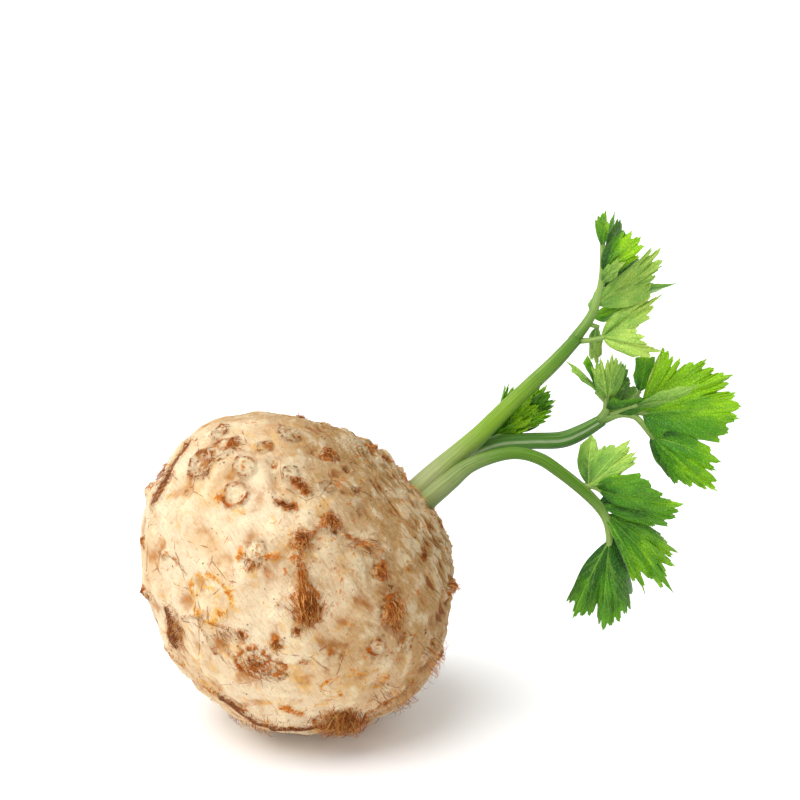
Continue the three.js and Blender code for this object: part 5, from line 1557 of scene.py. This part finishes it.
def leaflet_piece(name, leaflet, stems, seed):
    """One leaflet as an object, with its veins and its tone kept on its points."""
    base = nearest_on_stems(seen_point(leaflet["base"]), stems)
    tips = np.array([seen_point(tip) for tip in leaflet["tips"]])
    cuts = np.array([tip[3] if len(tip) > 3 else BLADE_CUT for tip in leaflet["tips"]])
    spans = len(tips) - 1
    columns = spans * SPAN_COLUMNS
    bpy.ops.object.select_all(action="DESELECT")
    bpy.ops.mesh.primitive_grid_add(x_subdivisions=columns, y_subdivisions=BLADE_ROWS, size=2)
    item = bpy.context.object
    item.name = name
    flat = read_points(item.data)
    turn = (flat[:, 0] + 1) / 2 * spans
    part = (flat[:, 1] + 1) / 2

    facing = sum(np.cross(tips[index] - base, tips[index + 1] - base) for index in range(spans))
    facing = facing / np.linalg.norm(facing)
    front = -math.copysign(1, facing @ np.array(FORWARD))
    spread = min(1, np.linalg.norm(tips[0] - tips[-1]) / np.linalg.norm(tips[0] - base))

    first = np.clip(np.floor(turn).astype(int), 0, spans - 1)
    within = turn - first
    parents = main_veins(np.linalg.norm(tips - base, axis=1))
    reach = toothed_edge(base, tips, cuts, parents, first, within, seed) - base
    length = np.linalg.norm(reach, axis=1)

    lean = (turn / spans * 2 - 1) ** 3
    sideways = np.cross(facing, reach) * (BLADE_BULGE * spread * lean)[:, None]
    middle = 4 * part * (1 - part)
    near_lobes = sum(np.exp(-3 * np.abs(turn - lobe)) for lobe in sorted(set(parents)))
    from_lobe = np.maximum(0, -np.log(near_lobes) / 3)
    fold = (0.5 - 0.5 * np.cos(np.minimum(1, from_lobe / 2.2) * math.pi)) * (1 - 0.5 * part)
    veins = vein_amount(turn, part, tips, parents)
    seeds = np.full(len(turn), seed)
    ripple = noise_at(np.stack((turn * 0.8, part * 3, seeds), axis=1), 1.0)
    crinkle = noise_at(np.stack((turn * 1.6, part * 6, seeds + 9.0), axis=1), 1.0)
    between = 1 - np.abs(2 * within - 1)
    pleat = BLADE_PLEAT * between ** 0.7 * (cuts[first] > 0) * part ** 1.5
    pleat = pleat + LOBE_PLEAT * fold * part
    rise = front * length * (BLADE_ARCH * middle + pleat)
    crumple = leaflet.get("crumple", 1)
    rise = rise + crumple * (length * 0.06 * ripple + 0.5 * MM * crinkle) * part
    rise = rise - front * VEIN_DEPTH * MM * veins * (1 - 0.5 * part)
    points = base + reach * part[:, None] + sideways * middle[:, None] + facing * rise[:, None]
    write_points(item.data, points)
    write_values(item.data, "vein", veins)
    # Tone with painted light and shade: darker at base and between lobes, lighter on waves and
    # teeth.
    tones = np.atleast_1d(leaflet["tone"])
    tone = np.interp(turn / spans, np.linspace(0, 1, len(tones)), tones)
    tone = tone - leaflet.get("inner", 0) * (1 - part) ** 2 + 0.5 * (part - 0.62)
    shade_between_lobes = 0.3 * (np.minimum(1, from_lobe / 2) - 0.3) * part
    write_values(item.data, "tone", tone + 0.3 * ripple - shade_between_lobes)
    write_values(item.data, "edge", part ** 3)
    turn_faces(item, not leaflet.get("under", False))
    item.data.materials.clear()
    item.data.materials.append(LEAF_TOP)
    item.data.materials.append(LEAF_UNDER)
    apply_modifier(item, "SOLIDIFY", thickness=BLADE_THICKNESS * MM, offset=0, material_offset=1,
                   use_even_offset=False)
    bpy.ops.object.shade_smooth_by_angle(angle=math.radians(50))
    return item


print("a span between two teeth has", SPAN_COLUMNS * BLADE_ROWS, "faces")


# %% [markdown]
# Upper sides are glossy and go from dark bottle green to bright yellow-green by their tone, which
# holds painted light and shade besides their own green, with lighter veins and a little painted
# light towards the teeth. Undersides are paler and duller. A network of fine veins is too small for
# the mesh, so it is a pattern of cells in the material that also raises the surface a little.

# %% Leaf materials
def leaf_material(name, dark, middle, bright, vein, roughness, relief):
    """Three greens by tone, which holds painted light and shade, veins and a network of fine veins.
    """
    material, shader = new_material(name, roughness, 0.2, 0.0012, LEAF_LIGHT, shine=0.3)
    tree = material.node_tree
    place = place_in(tree)
    tone = kept(tree, "tone")
    patches = times(tree, cloud(tree, place, 120, detail=4, roughness=0.6), 0.8)
    tone = sums(tree, "ADD", tone, sums(tree, "SUBTRACT", patches, 0.3))
    colour = mix(tree, ramp(tree, tone, 0.0, 0.5), dark, middle)
    colour = mix(tree, ramp(tree, tone, 0.45, 1.0), colour, bright)
    threads = ramp(tree, net(tree, place, 720.0), 0.02, 0.16, 1.0, 0.0)
    colour = mix(tree, times(tree, threads, 0.12), colour, vein)
    colour = mix(tree, times(tree, kept(tree, "vein"), 0.75), colour, vein)
    # Painted light: a little lighter towards the teeth.
    colour = mix(tree, times(tree, kept(tree, "edge"), 0.16), colour, bright)
    tree.links.new(colour, shader.inputs["Base Color"])
    bump(tree, shader, threads, relief)
    return material


LEAF_TOP = leaf_material("leaf_upper_side", paint(28, 82, 14), paint(68, 134, 10),
                         paint(142, 194, 8), paint(126, 176, 50), 0.38, -0.00025)
LEAF_UNDER = leaf_material("leaf_underside", paint(60, 108, 42), paint(114, 160, 58),
                           paint(172, 202, 88), paint(186, 214, 104), 0.55, 0.0002)
for node_name, leaf in LEAVES.items():
    blades = [leaflet_piece(f"{node_name}_leaflet_{index}", leaflet, leaf["stems"], index * 1.3)
              for index, leaflet in enumerate(leaf["leaflets"])]
    spray = joined(blades, f"{node_name}_leaflets")
    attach(spray, "root")
    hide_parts(node_name)
    print(spray.name, "has", len(spray.data.polygons), "faces")

# %% [markdown]
# A plain white ground that fades into the background suits a vegetable best, so the floor is one
# large pale plane under an even white sky. A lamp nearby would light the floor unevenly. A sun
# lights it evenly, and a wide disc makes its shadows as soft as those of a studio lamp. It stands
# high on the left, which gives the root its bright side and the soft shadow on the right.

# %% Floor and light
FLOOR_SIZE = 40.0
FLOOR_GREY = 0.96
FLOOR_GLOW = 0.05
SKY_STRENGTH = 0.72
SUN_STRENGTH = 2.8
SUN_SPREAD = math.radians(56)
SUN_FROM = Vector((-0.7, -0.42, 1.5))

bpy.ops.object.select_all(action="DESELECT")
bpy.ops.mesh.primitive_plane_add(size=FLOOR_SIZE, location=(0, 0, 0))
floor = bpy.context.object
floor.name = "floor"
floor_material, floor_shader = new_material("pale_floor", roughness=0.8)
floor_shader.inputs["Base Color"].default_value = (FLOOR_GREY, FLOOR_GREY, FLOOR_GREY, 1)
floor_shader.inputs["Emission Color"].default_value = (1, 1, 1, 1)
floor_shader.inputs["Emission Strength"].default_value = FLOOR_GLOW
floor.data.materials.append(floor_material)

sky = bpy.data.worlds.new("white_sky")
sky.use_nodes = True
sky.node_tree.nodes["Background"].inputs["Color"].default_value = (1, 1, 1, 1)
sky.node_tree.nodes["Background"].inputs["Strength"].default_value = SKY_STRENGTH
bpy.context.scene.world = sky

bpy.ops.object.select_all(action="DESELECT")
bpy.ops.object.light_add(type="SUN", rotation=SUN_FROM.to_track_quat("Z", "Y").to_euler())
sun = bpy.context.object
sun.name = "soft_key_light"
sun.data.energy = SUN_STRENGTH
sun.data.angle = SUN_SPREAD
bpy.context.scene.view_settings.view_transform = "Standard"
print("floor, sky and one soft sun")
